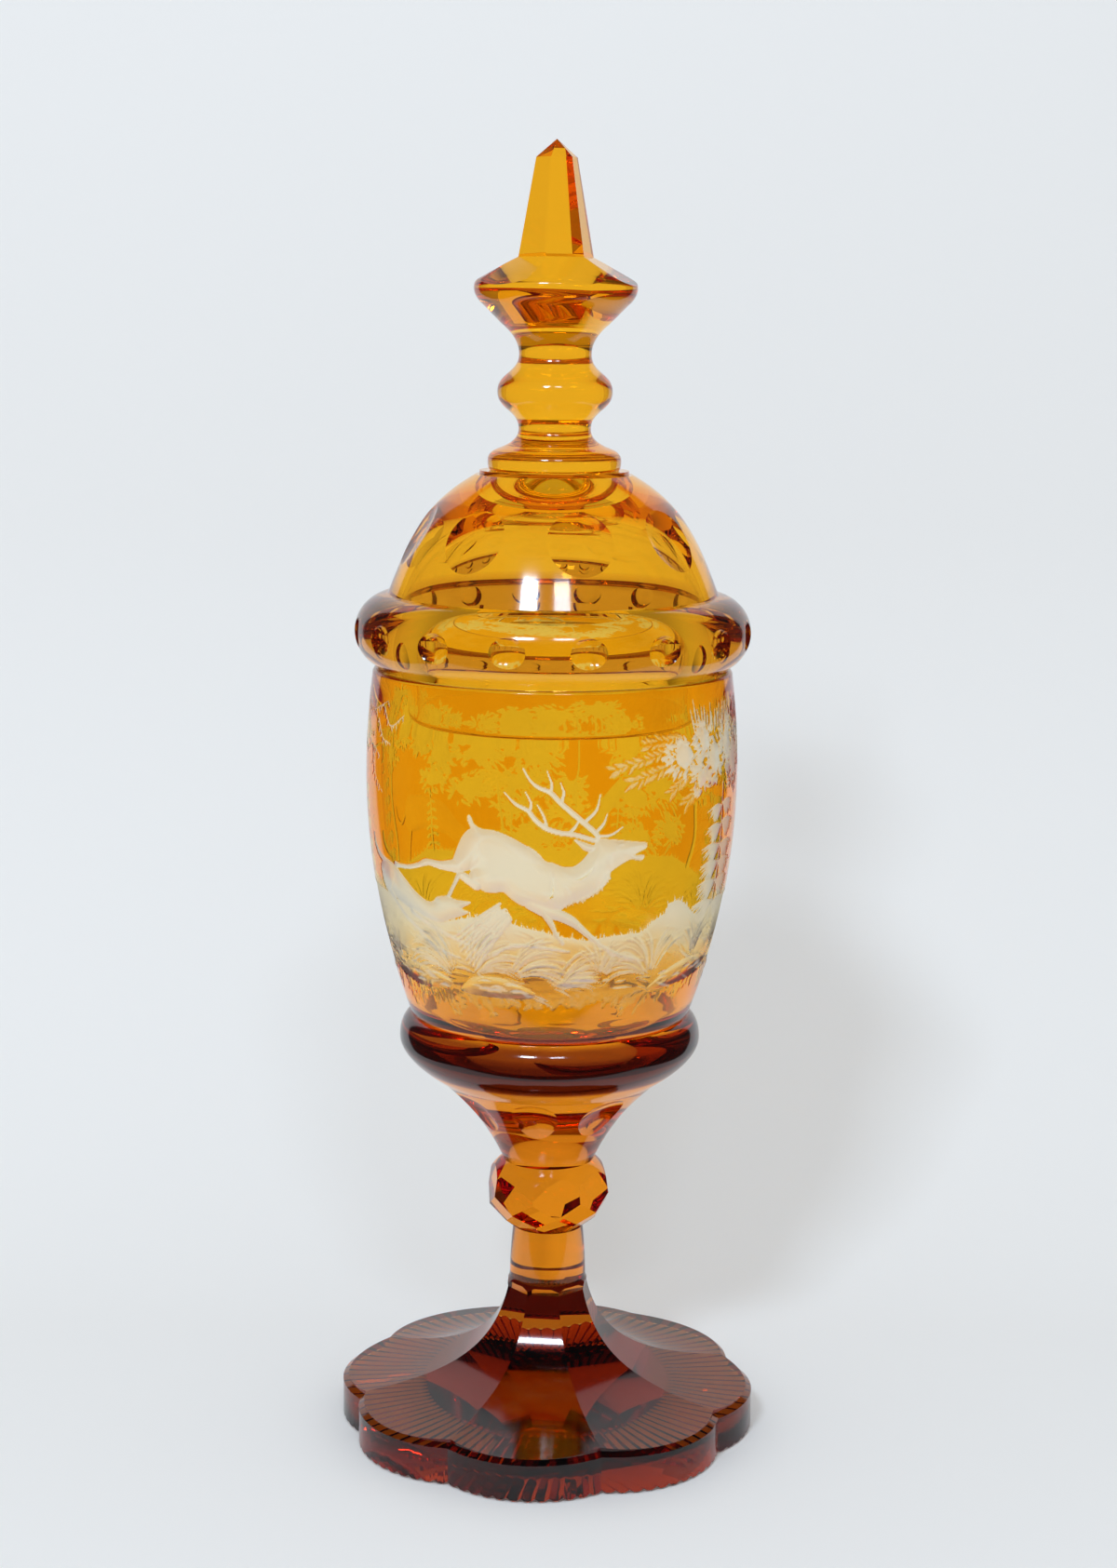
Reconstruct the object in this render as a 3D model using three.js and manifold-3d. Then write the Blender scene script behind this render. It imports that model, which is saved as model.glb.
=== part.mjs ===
// Covered goblet of cut and engraved amber glass, in millimetres with +Z up.
// The origin is the centre of the foot's underside. Azimuths run from -Y towards +X.
// Two glasses come apart by hand: the goblet, and the cover that stands in its rim.
import * as THREE from 'three';
import { mergeVertices } from 'three/addons/utils/BufferGeometryUtils.js';
import Module from 'manifold-3d';

// Foot: eight lobes, with eight hollowed panels that climb the stem
const LOBES = 8;
const LOBE_TURN = -6.4;
const FOOT_RADIUS = 65;
const NOTCH_RADIUS = 60.5;
const FOOT_WALL = 11.7;
const FOOT_BEVEL_WIDTH = 1.8;
const FOOT_BEVEL_RISE = 1.3;
const FOOT_CHAMFER = 0.6;
const PANEL_SPRING = 44.2;
const PANEL_ARCH = 2.1;
const PANEL_STEM_DEPTH = 11.85;
const PANEL_FOOT_SWEEP = 32;
const PANEL_STEM_SWEEP = 22;
const NECK_RADIUS = 10.9;
const NECK_SHOULDER = 12.1;
const NECK_TOP = 64;

// Knop: a round blank cut with three staggered rows of flats
const KNOP_HEIGHT = 22;
const KNOP_RADIUS = 19.6;
const KNOP_CREST = 12.3;
const KNOP_SHOULDER = 14.2;
const KNOP_TOP_ROUND = 4;
const KNOP_FOOT_ROUND = 3;
const KNOP_FLATS = 8;
const KNOP_TURN = 8.6;
const KNOP_WHEEL = 60;
const KNOP_UPPER_HEIGHT = 13.8;
const KNOP_UPPER_DEPTH = 17.6;
const KNOP_UPPER_TILT = 8;
const KNOP_MIDDLE_HEIGHT = 7.2;
const KNOP_MIDDLE_DEPTH = 17.1;
const KNOP_MIDDLE_TILT = -27;
const KNOP_LOWER_HEIGHT = 2.8;
const KNOP_LOWER_DEPTH = 13.4;
const KNOP_LOWER_TILT = -50;

// Calyx: a solid funnel with a row of hollow lens cuts
const CALYX_HEIGHT = 27;
const CALYX_TOP_RADIUS = 34.8;
const CALYX_WAIST_RADIUS = 20.7;
const CALYX_WAIST_HEIGHT = 15;
const CALYX_CUTS = 8;
const CALYX_CUT_TURN = -9;
const CALYX_CUT_HEIGHT = 19.5;
const CALYX_CUT_RADIUS = 7.4;
const CALYX_CUT_BALL = 14;

// Collar: a thick smooth ring round the bowl's solid base
const COLLAR_HEIGHT = 20.4;
const COLLAR_RADIUS = 46.4;
const COLLAR_CREST = 12.8;
const COLLAR_SWELL = 7.4;
const COLLAR_TUCK = 2.2;
const COLLAR_BORE = 33;
const COLLAR_MOUTH = 39;
const RING_CLEARANCE = 0.3;

// Bowl: a barrel with a solid base
const BOWL_BASE_RADIUS = 42.7;
const BOWL_RADIUS = 56.5;
const BOWL_WIDEST = 74.6;
const BOWL_HEIGHT = 106.9;
const BOWL_RIM_RADIUS = 54.3;
const BOWL_WALL = 5;
const BOWL_RIM_WALL = 3.7;
const BOWL_RIM_TAPER = 16;
const BOWL_RIM_ROUND = 0.9;
const BOWL_FLOOR_DROP = 1.4;
const BOWL_FLOOR_RADIUS = 31;
const BOWL_CORNER = 10;

// Cover: a flange inside the rim, a bead cut with lenses and a dome cut with roundels
const SEAT_CLEARANCE = 0.3;
const SEAT_WIDTH = 8.4;
const FLANGE_RADIUS = 44.5;
const FLANGE_WALL = 3.5;
const FLANGE_DEPTH = 15.8;
const FLANGE_ROUND = 0.8;
const BEAD_RADIUS = 59.8;
const BEAD_ROUND = 11.3;
const BEAD_SINK = 0.2;
const BORE_DROP = 9.3;
const BEAD_UNDERCUT = 24;
const BEAD_CUTS = 16;
const BEAD_CUT_TURN = 10.1;
const BEAD_CUT_RADIUS = 5.7;
const BEAD_CUT_BALL = 8;
const DOME_FOOT_RADIUS = 49.8;
const DOME_HEIGHT = 35.5;
const DOME_TOP_RADIUS = 23.6;
const DOME_WALL = 4.6;
const DOME_FOOT_LEAN = 6.4;
const DOME_FOOT_RISE = 16;
const DOME_SHOULDER_WIDTH = 15.8;
const DOME_SHOULDER_DROP = 9;
const DOME_INSIDE_DROP = 3;
const DOME_CUTS = 8;
const DOME_CUT_TURN = 11;
const DOME_CUT_HEIGHT = 17;
const DOME_CUT_DEPTH = 1.05;
const DOME_WHEEL = 40;
const STEP_RADIUS = 22.4;
const STEP_HEIGHT = 1.2;

// Finial: a merese, a turned knop, a wide disc and a six-sided spire
const MERESE_RADIUS = 20;
const MERESE_HEIGHT = 12.3;
const MERESE_CREST = 3;
const MERESE_SHOULDER = 3.6;
const MERESE_SLOPE = 5.6;
const FINIAL_NECK = 10.8;
const FINIAL_KNOP_RADIUS = 17.2;
const FINIAL_KNOP_HEIGHT = 22;
const DISC_RADIUS = 24.3;
const DISC_CREST = 19.3;
const DISC_HEIGHT = 28.3;
const DISC_TOP_RADIUS = 12;
const DISC_CONE_FOOT = 8.8;
const DISC_CONE_STEP = 5.2;
const DISC_ROUND = 5;
const DISC_SHOULDER = 2.5;
const DISC_FLAT_DEPTH = 0.5;
const DISC_WHEEL = 50;
const SPIRE_SIDES = 6;
const SPIRE_TURN = 15;
const SPIRE_BASE = 11.5;
const SPIRE_TIP = 6.3;
const SPIRE_SHAFT = 28.7;
const SPIRE_POINT = 5.3;

// Steps round a turned piece, and along one of its curves
const ROUND_STEPS = 44;
const SLIM_STEPS = 32;
const CURVE_STEPS = 5;
const LOBE_STEPS = 8;
const BALL_STEPS = 12;

// Heights where the pieces meet
const knopBase = NECK_TOP;
const calyxBase = knopBase + KNOP_HEIGHT;
const collarBase = calyxBase + CALYX_HEIGHT;
const bowlBase = collarBase + COLLAR_HEIGHT;
const rimHeight = bowlBase + BOWL_HEIGHT;
const seatHeight = rimHeight + SEAT_CLEARANCE;
const beadCentre = seatHeight + BEAD_ROUND - BEAD_SINK;
const domeBase = beadCentre + BEAD_ROUND;
const domeTop = domeBase + DOME_HEIGHT;
const mereseBase = domeTop + STEP_HEIGHT;
const finialKnopBase = mereseBase + MERESE_HEIGHT;
const discBase = finialKnopBase + FINIAL_KNOP_HEIGHT;
const spireBase = discBase + DISC_HEIGHT;

const wasm = await Module();
wasm.setup();

const radians = THREE.MathUtils.degToRad;
const point = (radius, height) => new THREE.Vector2(radius, height);

function quadratic(start, handle, end, steps = CURVE_STEPS) {
  return new THREE.QuadraticBezierCurve(start, handle, end).getPoints(steps);
}

function cubic(start, startHandle, endHandle, end, steps = CURVE_STEPS) {
  return new THREE.CubicBezierCurve(start, startHandle, endHandle, end).getPoints(steps);
}

// An S-curve that leaves one radius and reaches the next upright
function ogee(start, end, steps = CURVE_STEPS) {
  const middle = (start.y + end.y) / 2;
  return cubic(start, point(start.x, middle), point(end.x, middle), end, steps);
}

function arc(centre, radius, fromDegrees, toDegrees, steps = CURVE_STEPS) {
  const curve = new THREE.ArcCurve(centre.x, centre.y, radius, radians(fromDegrees), radians(toDegrees),
    toDegrees < fromDegrees);
  return curve.getPoints(steps);
}

// Points closer than a hundredth of a millimetre to the one before are left out
function tidyPath(path) {
  return path.filter((p, i) => i === 0 || p.distanceTo(path[i - 1]) > 0.01);
}

// A turned solid: its outline climbs from the axis to the axis, outside the glass
function turned(outline, steps = ROUND_STEPS) {
  const geometry = new THREE.LatheGeometry(tidyPath(outline.flat()), steps);
  geometry.rotateX(Math.PI / 2);
  return geometry;
}

function toSolid(geometry) {
  const bare = geometry.clone();
  bare.deleteAttribute('normal');
  bare.deleteAttribute('uv');
  const merged = mergeVertices(bare, 1e-5);
  const vertProperties = new Float32Array(merged.attributes.position.array);
  const index = merged.index.array;
  const corners = [];
  for (let i = 0; i < index.length; i += 3) {
    const [a, b, c] = [index[i], index[i + 1], index[i + 2]];
    if (a !== b && b !== c && c !== a) corners.push(a, b, c);
  }
  const mesh = new wasm.Mesh({ numProp: 3, vertProperties, triVerts: new Uint32Array(corners) });
  return new wasm.Manifold(mesh);
}

function toGeometry(solid) {
  const mesh = solid.getMesh();
  const geometry = new THREE.BufferGeometry();
  geometry.setAttribute('position', new THREE.BufferAttribute(mesh.vertProperties, 3));
  geometry.setIndex(new THREE.BufferAttribute(mesh.triVerts, 1));
  return geometry.toNonIndexed();
}

// A direction on the glass, at an azimuth round it and tilted up from level
function outward(azimuth, tilt = 0) {
  const turn = radians(azimuth);
  const rise = radians(tilt);
  return new THREE.Vector3(Math.sin(turn) * Math.cos(rise), -Math.cos(turn) * Math.cos(rise), Math.sin(rise));
}

function placed(geometry, position, direction, forward = new THREE.Vector3(0, 0, 1)) {
  const turn = new THREE.Quaternion().setFromUnitVectors(forward, direction);
  return geometry.applyQuaternion(turn).translate(position.x, position.y, position.z);
}

// The glass that a flat wheel takes off beyond a plane at one depth from the axis
function flatCut(azimuth, tilt, depth, height, size) {
  const direction = outward(azimuth, tilt);
  const onPlane = outward(azimuth).multiplyScalar(depth).add(new THREE.Vector3(0, 0, height));
  const centre = onPlane.addScaledVector(direction, size / 2);
  return toSolid(placed(new THREE.BoxGeometry(size, size, size), centre, direction));
}

// The hollow that a round wheel leaves: a ball that bites to a depth along a direction
function ballCut(azimuth, tilt, radius, height, ball, bite) {
  const direction = outward(azimuth, tilt);
  const onSurface = outward(azimuth).multiplyScalar(radius).add(new THREE.Vector3(0, 0, height));
  const centre = onSurface.addScaledVector(direction, ball - bite);
  const sphere = new THREE.SphereGeometry(ball, BALL_STEPS, BALL_STEPS);
  return toSolid(placed(sphere, centre, direction, new THREE.Vector3(0, -1, 0)));
}

function aroundAxis(count, turn, make) {
  return Array.from({ length: count }, (_, i) => make(turn + (360 / count) * i));
}

function cutAway(solid, cuts) {
  return cuts.reduce((rest, cut) => rest.subtract(cut), solid);
}

// The lobed outline at one inset: arcs through the notches and the lobes' crowns
function lobedOutline(inset) {
  const half = Math.PI / LOBES;
  const crown = FOOT_RADIUS - inset;
  const notch = NOTCH_RADIUS - inset;
  const centre = (crown ** 2 - notch ** 2) / (2 * (crown - notch * Math.cos(half)));
  const radius = crown - centre;
  const reach = Math.atan2(notch * Math.sin(half), notch * Math.cos(half) - centre);
  const outline = [];
  for (let lobe = 0; lobe < LOBES; lobe += 1) {
    const azimuth = radians(LOBE_TURN) + lobe * 2 * half - Math.PI / 2;
    for (let step = 0; step < LOBE_STEPS; step += 1) {
      const angle = azimuth + reach * (2 * step / LOBE_STEPS - 1);
      outline.push(point(centre * Math.cos(azimuth) + radius * Math.cos(angle),
        centre * Math.sin(azimuth) + radius * Math.sin(angle)));
    }
  }
  return outline;
}

// A block between stacked outlines that have the same number of points
function stacked(layers) {
  const count = layers[0].outline.length;
  const positions = layers.flatMap(({ outline, height }) => outline.flatMap((p) => [p.x, p.y, height]));
  const bottom = positions.length / 3;
  positions.push(0, 0, layers[0].height, 0, 0, layers.at(-1).height);
  const index = [];
  for (let i = 0; i < count; i += 1) {
    const next = (i + 1) % count;
    index.push(bottom, next, i);
    for (let layer = 0; layer + 1 < layers.length; layer += 1) {
      const low = layer * count;
      const high = low + count;
      index.push(low + i, low + next, high + next, low + i, high + next, high + i);
    }
    const top = (layers.length - 1) * count;
    index.push(bottom + 1, top + i, top + next);
  }
  const geometry = new THREE.BufferGeometry();
  geometry.setAttribute('position', new THREE.Float32BufferAttribute(positions, 3));
  geometry.setIndex(index);
  return geometry;
}

// One hollowed panel, as everything that it leaves on its side of the foot
function panelSide(azimuth) {
  const span = 3 * FOOT_RADIUS;
  const edge = point(FOOT_RADIUS - FOOT_BEVEL_WIDTH, FOOT_WALL + FOOT_BEVEL_RISE);
  const spring = point(PANEL_STEM_DEPTH, PANEL_SPRING);
  const slope = new THREE.Shape([
    point(-span, -1),
    point(span, -1),
    point(span, edge.y),
    ...cubic(edge, point(edge.x - PANEL_FOOT_SWEEP, edge.y + 0.1 * PANEL_FOOT_SWEEP),
      point(spring.x + 0.22 * PANEL_STEM_SWEEP, spring.y - PANEL_STEM_SWEEP), spring, 2 * CURVE_STEPS),
    point(NECK_SHOULDER, PANEL_SPRING + PANEL_ARCH),
    point(span, PANEL_SPRING + 2 * PANEL_ARCH),
    point(span, NECK_TOP + 1),
    point(-span, NECK_TOP + 1),
  ]);
  const prism = new THREE.ExtrudeGeometry(slope, { depth: span, bevelEnabled: false });
  prism.translate(0, 0, -span / 2).rotateX(Math.PI / 2).rotateZ(radians(azimuth - 90));
  return toSolid(prism);
}

function makeFoot() {
  const edgeTop = FOOT_WALL + FOOT_BEVEL_RISE;
  const slab = toSolid(stacked([
    { outline: lobedOutline(FOOT_CHAMFER), height: 0 },
    { outline: lobedOutline(0), height: FOOT_CHAMFER },
    { outline: lobedOutline(0), height: FOOT_WALL },
    { outline: lobedOutline(FOOT_BEVEL_WIDTH), height: edgeTop },
    { outline: lobedOutline(FOOT_BEVEL_WIDTH), height: NECK_TOP + 1 },
  ]));
  const arch = PANEL_SPRING + PANEL_ARCH;
  const blank = toSolid(turned([
    [point(0, 0), point(2 * FOOT_RADIUS, 0), point(2 * FOOT_RADIUS, edgeTop + 4)],
    [point(FOOT_RADIUS, edgeTop + 6), point(FOOT_RADIUS / 2, (edgeTop + arch) / 2)],
    cubic(point(NECK_SHOULDER + 6, arch - 5), point(NECK_SHOULDER + 1.2, arch - 2.5),
      point(NECK_SHOULDER, arch), point(NECK_SHOULDER - 0.2, arch + 1.5)),
    quadratic(point(NECK_SHOULDER - 0.2, arch + 1.5), point(NECK_SHOULDER - 0.3, (arch + NECK_TOP) / 2),
      point(NECK_RADIUS, NECK_TOP)),
    [point(0, NECK_TOP)],
  ]));
  const sides = aroundAxis(LOBES, LOBE_TURN, panelSide);
  return sides.reduce((rest, side) => rest.intersect(side), slab.intersect(blank));
}

function makeKnop() {
  const middle = knopBase + KNOP_CREST;
  const top = knopBase + KNOP_HEIGHT;
  const blank = turned([
    [point(0, knopBase), point(NECK_RADIUS, knopBase)],
    quadratic(point(NECK_RADIUS, knopBase), point(KNOP_RADIUS, knopBase + KNOP_FOOT_ROUND),
      point(KNOP_RADIUS, middle)),
    quadratic(point(KNOP_RADIUS, middle), point(KNOP_RADIUS, top - KNOP_TOP_ROUND), point(KNOP_SHOULDER, top)),
    [point(0, top)],
  ], SLIM_STEPS);
  const between = KNOP_TURN + 180 / KNOP_FLATS;
  const rows = [
    { height: KNOP_UPPER_HEIGHT, depth: KNOP_UPPER_DEPTH, tilt: KNOP_UPPER_TILT, turn: KNOP_TURN },
    { height: KNOP_MIDDLE_HEIGHT, depth: KNOP_MIDDLE_DEPTH, tilt: KNOP_MIDDLE_TILT, turn: between },
    { height: KNOP_LOWER_HEIGHT, depth: KNOP_LOWER_DEPTH, tilt: KNOP_LOWER_TILT, turn: KNOP_TURN },
  ];
  const cuts = rows.flatMap((row) => aroundAxis(KNOP_FLATS, row.turn,
    (azimuth) => flatCut(azimuth, row.tilt, row.depth, knopBase + row.height, KNOP_WHEEL)));
  return cutAway(toSolid(blank), cuts);
}

function makeCalyx() {
  const start = point(KNOP_SHOULDER, calyxBase);
  const waist = point(CALYX_WAIST_RADIUS, calyxBase + CALYX_WAIST_HEIGHT);
  const end = point(CALYX_TOP_RADIUS, collarBase);
  const flare = new THREE.QuadraticBezierCurve(start, waist, end);
  const outside = flare.getPoints(CURVE_STEPS);
  const blank = turned([[point(0, calyxBase)], outside, [point(0, collarBase)]], SLIM_STEPS);
  const samples = flare.getPoints(200);
  const at = samples.findIndex((p) => p.y >= calyxBase + CALYX_CUT_HEIGHT);
  const slope = samples[at + 1].clone().sub(samples[at - 1]);
  const tilt = THREE.MathUtils.radToDeg(Math.atan2(-slope.x, slope.y));
  const bite = CALYX_CUT_RADIUS ** 2 / (2 * CALYX_CUT_BALL) + CALYX_CUT_RADIUS ** 2 / (4 * samples[at].x);
  const cuts = aroundAxis(CALYX_CUTS, CALYX_CUT_TURN,
    (azimuth) => ballCut(azimuth, tilt, samples[at].x, samples[at].y, CALYX_CUT_BALL, bite));
  return cutAway(toSolid(blank), cuts);
}

function makeCollar() {
  const crest = collarBase + COLLAR_CREST;
  const bore = point(COLLAR_BORE + RING_CLEARANCE, collarBase);
  return toSolid(turned([
    [bore, point(CALYX_TOP_RADIUS, collarBase)],
    quadratic(point(CALYX_TOP_RADIUS, collarBase), point(COLLAR_RADIUS, collarBase + COLLAR_SWELL),
      point(COLLAR_RADIUS, crest)),
    quadratic(point(COLLAR_RADIUS, crest), point(COLLAR_RADIUS, bowlBase - COLLAR_TUCK),
      point(BOWL_BASE_RADIUS, bowlBase)),
    [point(COLLAR_MOUTH + RING_CLEARANCE, bowlBase), bore],
  ]));
}

// The barrel's outside: one parabola below its widest height and one above
function bowlOutside(height) {
  const widest = bowlBase + BOWL_WIDEST;
  const end = height < widest ? bowlBase : rimHeight;
  const endRadius = height < widest ? BOWL_BASE_RADIUS : BOWL_RIM_RADIUS;
  const share = (height - widest) / (end - widest);
  return BOWL_RADIUS - (BOWL_RADIUS - endRadius) * share ** 2;
}

function bowlInside(height) {
  const taper = THREE.MathUtils.smoothstep(height, rimHeight - BOWL_RIM_TAPER, rimHeight);
  return bowlOutside(height) - THREE.MathUtils.lerp(BOWL_WALL, BOWL_RIM_WALL, taper);
}

function heights(from, to, steps) {
  return Array.from({ length: steps + 1 }, (_, i) => from + ((to - from) * i) / steps);
}

function makeBowl() {
  const floor = bowlBase - BOWL_FLOOR_DROP;
  const cornerTop = floor + BOWL_CORNER;
  const outside = heights(bowlBase, rimHeight - BOWL_RIM_ROUND, 8).map((z) => point(bowlOutside(z), z));
  const inside = heights(rimHeight - BOWL_RIM_ROUND, cornerTop, 7).map((z) => point(bowlInside(z), z));
  const lipOut = point(bowlOutside(rimHeight) - BOWL_RIM_ROUND, rimHeight);
  const lipIn = point(bowlInside(rimHeight) + BOWL_RIM_ROUND, rimHeight);
  return toSolid(turned([
    [point(0, collarBase), point(COLLAR_BORE, collarBase), point(COLLAR_MOUTH, bowlBase)],
    outside,
    [lipOut, lipIn],
    inside,
    quadratic(point(bowlInside(cornerTop), cornerTop), point(BOWL_FLOOR_RADIUS + 0.75 * BOWL_CORNER, floor),
      point(BOWL_FLOOR_RADIUS, floor)),
    [point(0, floor)],
  ]));
}

function makeCover() {
  const bore = FLANGE_RADIUS - FLANGE_WALL;
  const flangeEnd = seatHeight - FLANGE_DEPTH;
  const beadAxis = point(BEAD_RADIUS - BEAD_ROUND, beadCentre);
  const seatEdge = beadAxis.x + SEAT_WIDTH / 2;
  const seatAngle = THREE.MathUtils.radToDeg(Math.asin((seatHeight - beadCentre) / BEAD_ROUND));
  const domeFoot = point(DOME_FOOT_RADIUS, domeBase);
  const domeEnd = point(DOME_TOP_RADIUS, domeTop);
  const beadEnd = THREE.MathUtils.radToDeg(Math.acos((DOME_FOOT_RADIUS + 0.6 - beadAxis.x) / BEAD_ROUND));
  const domeCurve = (shrink) => cubic(
    point(domeFoot.x - shrink, domeFoot.y - (shrink > 0 ? DOME_INSIDE_DROP : 0)),
    point(domeFoot.x - DOME_FOOT_LEAN - shrink, domeFoot.y + DOME_FOOT_RISE - shrink * 0.3),
    point(domeEnd.x + DOME_SHOULDER_WIDTH - shrink * 0.7, domeEnd.y - DOME_SHOULDER_DROP - shrink * 0.8),
    point(shrink > 0 ? 0.45 * domeEnd.x : domeEnd.x, domeEnd.y - shrink * 1.1), 6);
  const blank = turned([
    [point(bore + FLANGE_ROUND, flangeEnd), point(FLANGE_RADIUS - FLANGE_ROUND, flangeEnd)],
    [point(FLANGE_RADIUS, flangeEnd + FLANGE_ROUND), point(FLANGE_RADIUS, seatHeight)],
    [point(seatEdge, seatHeight)],
    arc(beadAxis, BEAD_ROUND, seatAngle + BEAD_UNDERCUT, beadEnd, 7),
    domeCurve(0),
    [point(STEP_RADIUS, domeTop), point(STEP_RADIUS, mereseBase), point(0, mereseBase)],
    [point(0, domeTop - DOME_WALL * 1.1)],
    domeCurve(DOME_WALL).reverse(),
    [point(bore, domeBase - BORE_DROP), point(bore, flangeEnd + FLANGE_ROUND)],
    [point(bore + FLANGE_ROUND, flangeEnd)],
  ]);
  const beadBite = BEAD_CUT_RADIUS ** 2 * (1 / (2 * BEAD_RADIUS) + 1 / (2 * BEAD_CUT_BALL));
  const lenses = aroundAxis(BEAD_CUTS, BEAD_CUT_TURN,
    (azimuth) => ballCut(azimuth, 0, BEAD_RADIUS, beadCentre, BEAD_CUT_BALL, beadBite));
  const outside = domeCurve(0);
  const at = outside.findIndex((p) => p.y >= domeBase + DOME_CUT_HEIGHT);
  const slope = outside[at + 1].clone().sub(outside[at - 1]);
  const tilt = THREE.MathUtils.radToDeg(Math.atan2(-slope.x, slope.y));
  const depth = outside[at].x - DOME_CUT_DEPTH / Math.cos(radians(tilt));
  const roundels = aroundAxis(DOME_CUTS, DOME_CUT_TURN,
    (azimuth) => flatCut(azimuth, tilt, depth, outside[at].y, DOME_WHEEL));
  return cutAway(toSolid(blank), [...lenses, ...roundels]);
}

function makeMerese() {
  const crest = point(MERESE_RADIUS, mereseBase + MERESE_CREST);
  const shoulder = point(MERESE_RADIUS - 3.4, crest.y + MERESE_SHOULDER);
  return toSolid(turned([
    [point(0, mereseBase), point(MERESE_RADIUS - 1, mereseBase)],
    quadratic(point(MERESE_RADIUS - 1, mereseBase), point(MERESE_RADIUS, mereseBase), crest, 3),
    quadratic(crest, point(MERESE_RADIUS, crest.y + MERESE_SHOULDER - 1.2), shoulder, 4),
    quadratic(shoulder, point(FINIAL_NECK, crest.y + MERESE_SLOPE), point(FINIAL_NECK, finialKnopBase), 5),
    [point(0, finialKnopBase)],
  ], SLIM_STEPS));
}

function makeFinialKnop() {
  const crest = point(FINIAL_KNOP_RADIUS, finialKnopBase + FINIAL_KNOP_HEIGHT / 2);
  return toSolid(turned([
    [point(0, finialKnopBase)],
    ogee(point(FINIAL_NECK, finialKnopBase), crest),
    ogee(crest, point(FINIAL_NECK, discBase)),
    [point(0, discBase)],
  ], SLIM_STEPS));
}

function makeFinialDisc() {
  const crest = discBase + DISC_CREST;
  const coneFoot = point(FINIAL_NECK + DISC_CONE_STEP, discBase + DISC_CONE_FOOT);
  const coneTop = point(DISC_RADIUS - 2.8, crest - DISC_ROUND);
  const shoulder = point(DISC_RADIUS - 1, crest + DISC_SHOULDER);
  const blank = turned([
    [point(0, discBase)],
    quadratic(point(FINIAL_NECK, discBase), point(FINIAL_NECK, coneFoot.y - 4.2), coneFoot),
    quadratic(coneTop, point(DISC_RADIUS, crest - 2.6), point(DISC_RADIUS, crest), 4),
    quadratic(point(DISC_RADIUS, crest), point(DISC_RADIUS, crest + 1.6), shoulder, 4),
    [point(DISC_TOP_RADIUS, spireBase), point(0, spireBase)],
  ], SLIM_STEPS);
  const fall = point(shoulder.x - DISC_TOP_RADIUS, spireBase - shoulder.y);
  const tilt = THREE.MathUtils.radToDeg(Math.atan2(fall.x, fall.y));
  const inner = DISC_TOP_RADIUS * Math.cos(Math.PI / SPIRE_SIDES);
  const flats = aroundAxis(SPIRE_SIDES, SPIRE_TURN,
    (azimuth) => flatCut(azimuth, tilt, inner - DISC_FLAT_DEPTH, spireBase, DISC_WHEEL));
  return cutAway(toSolid(blank), flats);
}

// The spire: a tapering six-sided shaft under a pyramid
function makeSpire() {
  const levels = [
    [point(0, 0), point(SPIRE_BASE, 0)],
    [point(SPIRE_TIP, SPIRE_SHAFT), point(0, SPIRE_SHAFT + SPIRE_POINT)],
  ];
  const spire = turned(levels, SPIRE_SIDES);
  spire.rotateZ(radians(SPIRE_TURN + 180 / SPIRE_SIDES)).translate(0, 0, spireBase);
  return toSolid(spire);
}

const amber = { roughness: 0.04, metalness: 0 };
const colours = { foot: 0x7c2c16, stem: 0xd8820f, collar: 0x6a1a0c, bowl: 0xdf9a12, cover: 0xe0a010 };

function piece(name, solid, color) {
  const material = new THREE.MeshStandardMaterial({ color, ...amber });
  const mesh = new THREE.Mesh(toGeometry(solid), material);
  mesh.name = name;
  return mesh;
}

const goblet = new THREE.Group();
goblet.add(piece('foot', makeFoot(), colours.foot));
goblet.add(piece('stem_knop', makeKnop(), colours.stem));
goblet.add(piece('calyx', makeCalyx(), colours.stem));
goblet.add(piece('collar_ring', makeCollar(), colours.collar));
goblet.add(piece('bowl', makeBowl(), colours.bowl));

const cover = new THREE.Group();
cover.add(piece('cover_dome', makeCover(), colours.cover));
cover.add(piece('finial_merese', makeMerese(), colours.cover));
cover.add(piece('finial_knop', makeFinialKnop(), colours.cover));
cover.add(piece('finial_disc', makeFinialDisc(), colours.cover));
cover.add(piece('finial_spire', makeSpire(), colours.cover));

const coveredGoblet = new THREE.Group();
coveredGoblet.add(goblet, cover);

export default coveredGoblet;
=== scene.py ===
import itertools
import math
import bpy
import numpy as np
from mathutils import Matrix, Quaternion, Vector


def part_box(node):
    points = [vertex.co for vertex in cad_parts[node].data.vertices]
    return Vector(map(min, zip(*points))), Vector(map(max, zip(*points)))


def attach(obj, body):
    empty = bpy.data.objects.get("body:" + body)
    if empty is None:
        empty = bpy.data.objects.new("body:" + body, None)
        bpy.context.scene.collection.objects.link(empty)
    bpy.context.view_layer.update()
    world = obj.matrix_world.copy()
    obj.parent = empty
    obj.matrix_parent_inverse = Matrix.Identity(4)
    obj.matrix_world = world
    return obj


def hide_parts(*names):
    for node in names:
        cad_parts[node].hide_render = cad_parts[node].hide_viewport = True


# The covered goblet of amber-stained cut glass. Lengths are in millimetres until a mesh is made.
# Azimuths run from -Y, the side that faces the camera, towards +X.
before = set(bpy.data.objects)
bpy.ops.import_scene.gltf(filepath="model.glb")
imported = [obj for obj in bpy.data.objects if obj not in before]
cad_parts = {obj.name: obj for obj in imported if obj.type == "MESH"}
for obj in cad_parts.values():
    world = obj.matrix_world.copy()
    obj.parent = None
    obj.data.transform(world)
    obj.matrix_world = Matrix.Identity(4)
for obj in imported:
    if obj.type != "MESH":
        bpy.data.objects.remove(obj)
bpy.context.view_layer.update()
MILLIMETRE = 0.001


def level(node, end):
    """Height of a CAD node's lowest (0) or highest (1) point."""
    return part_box(node)[end][2] / MILLIMETRE


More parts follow.
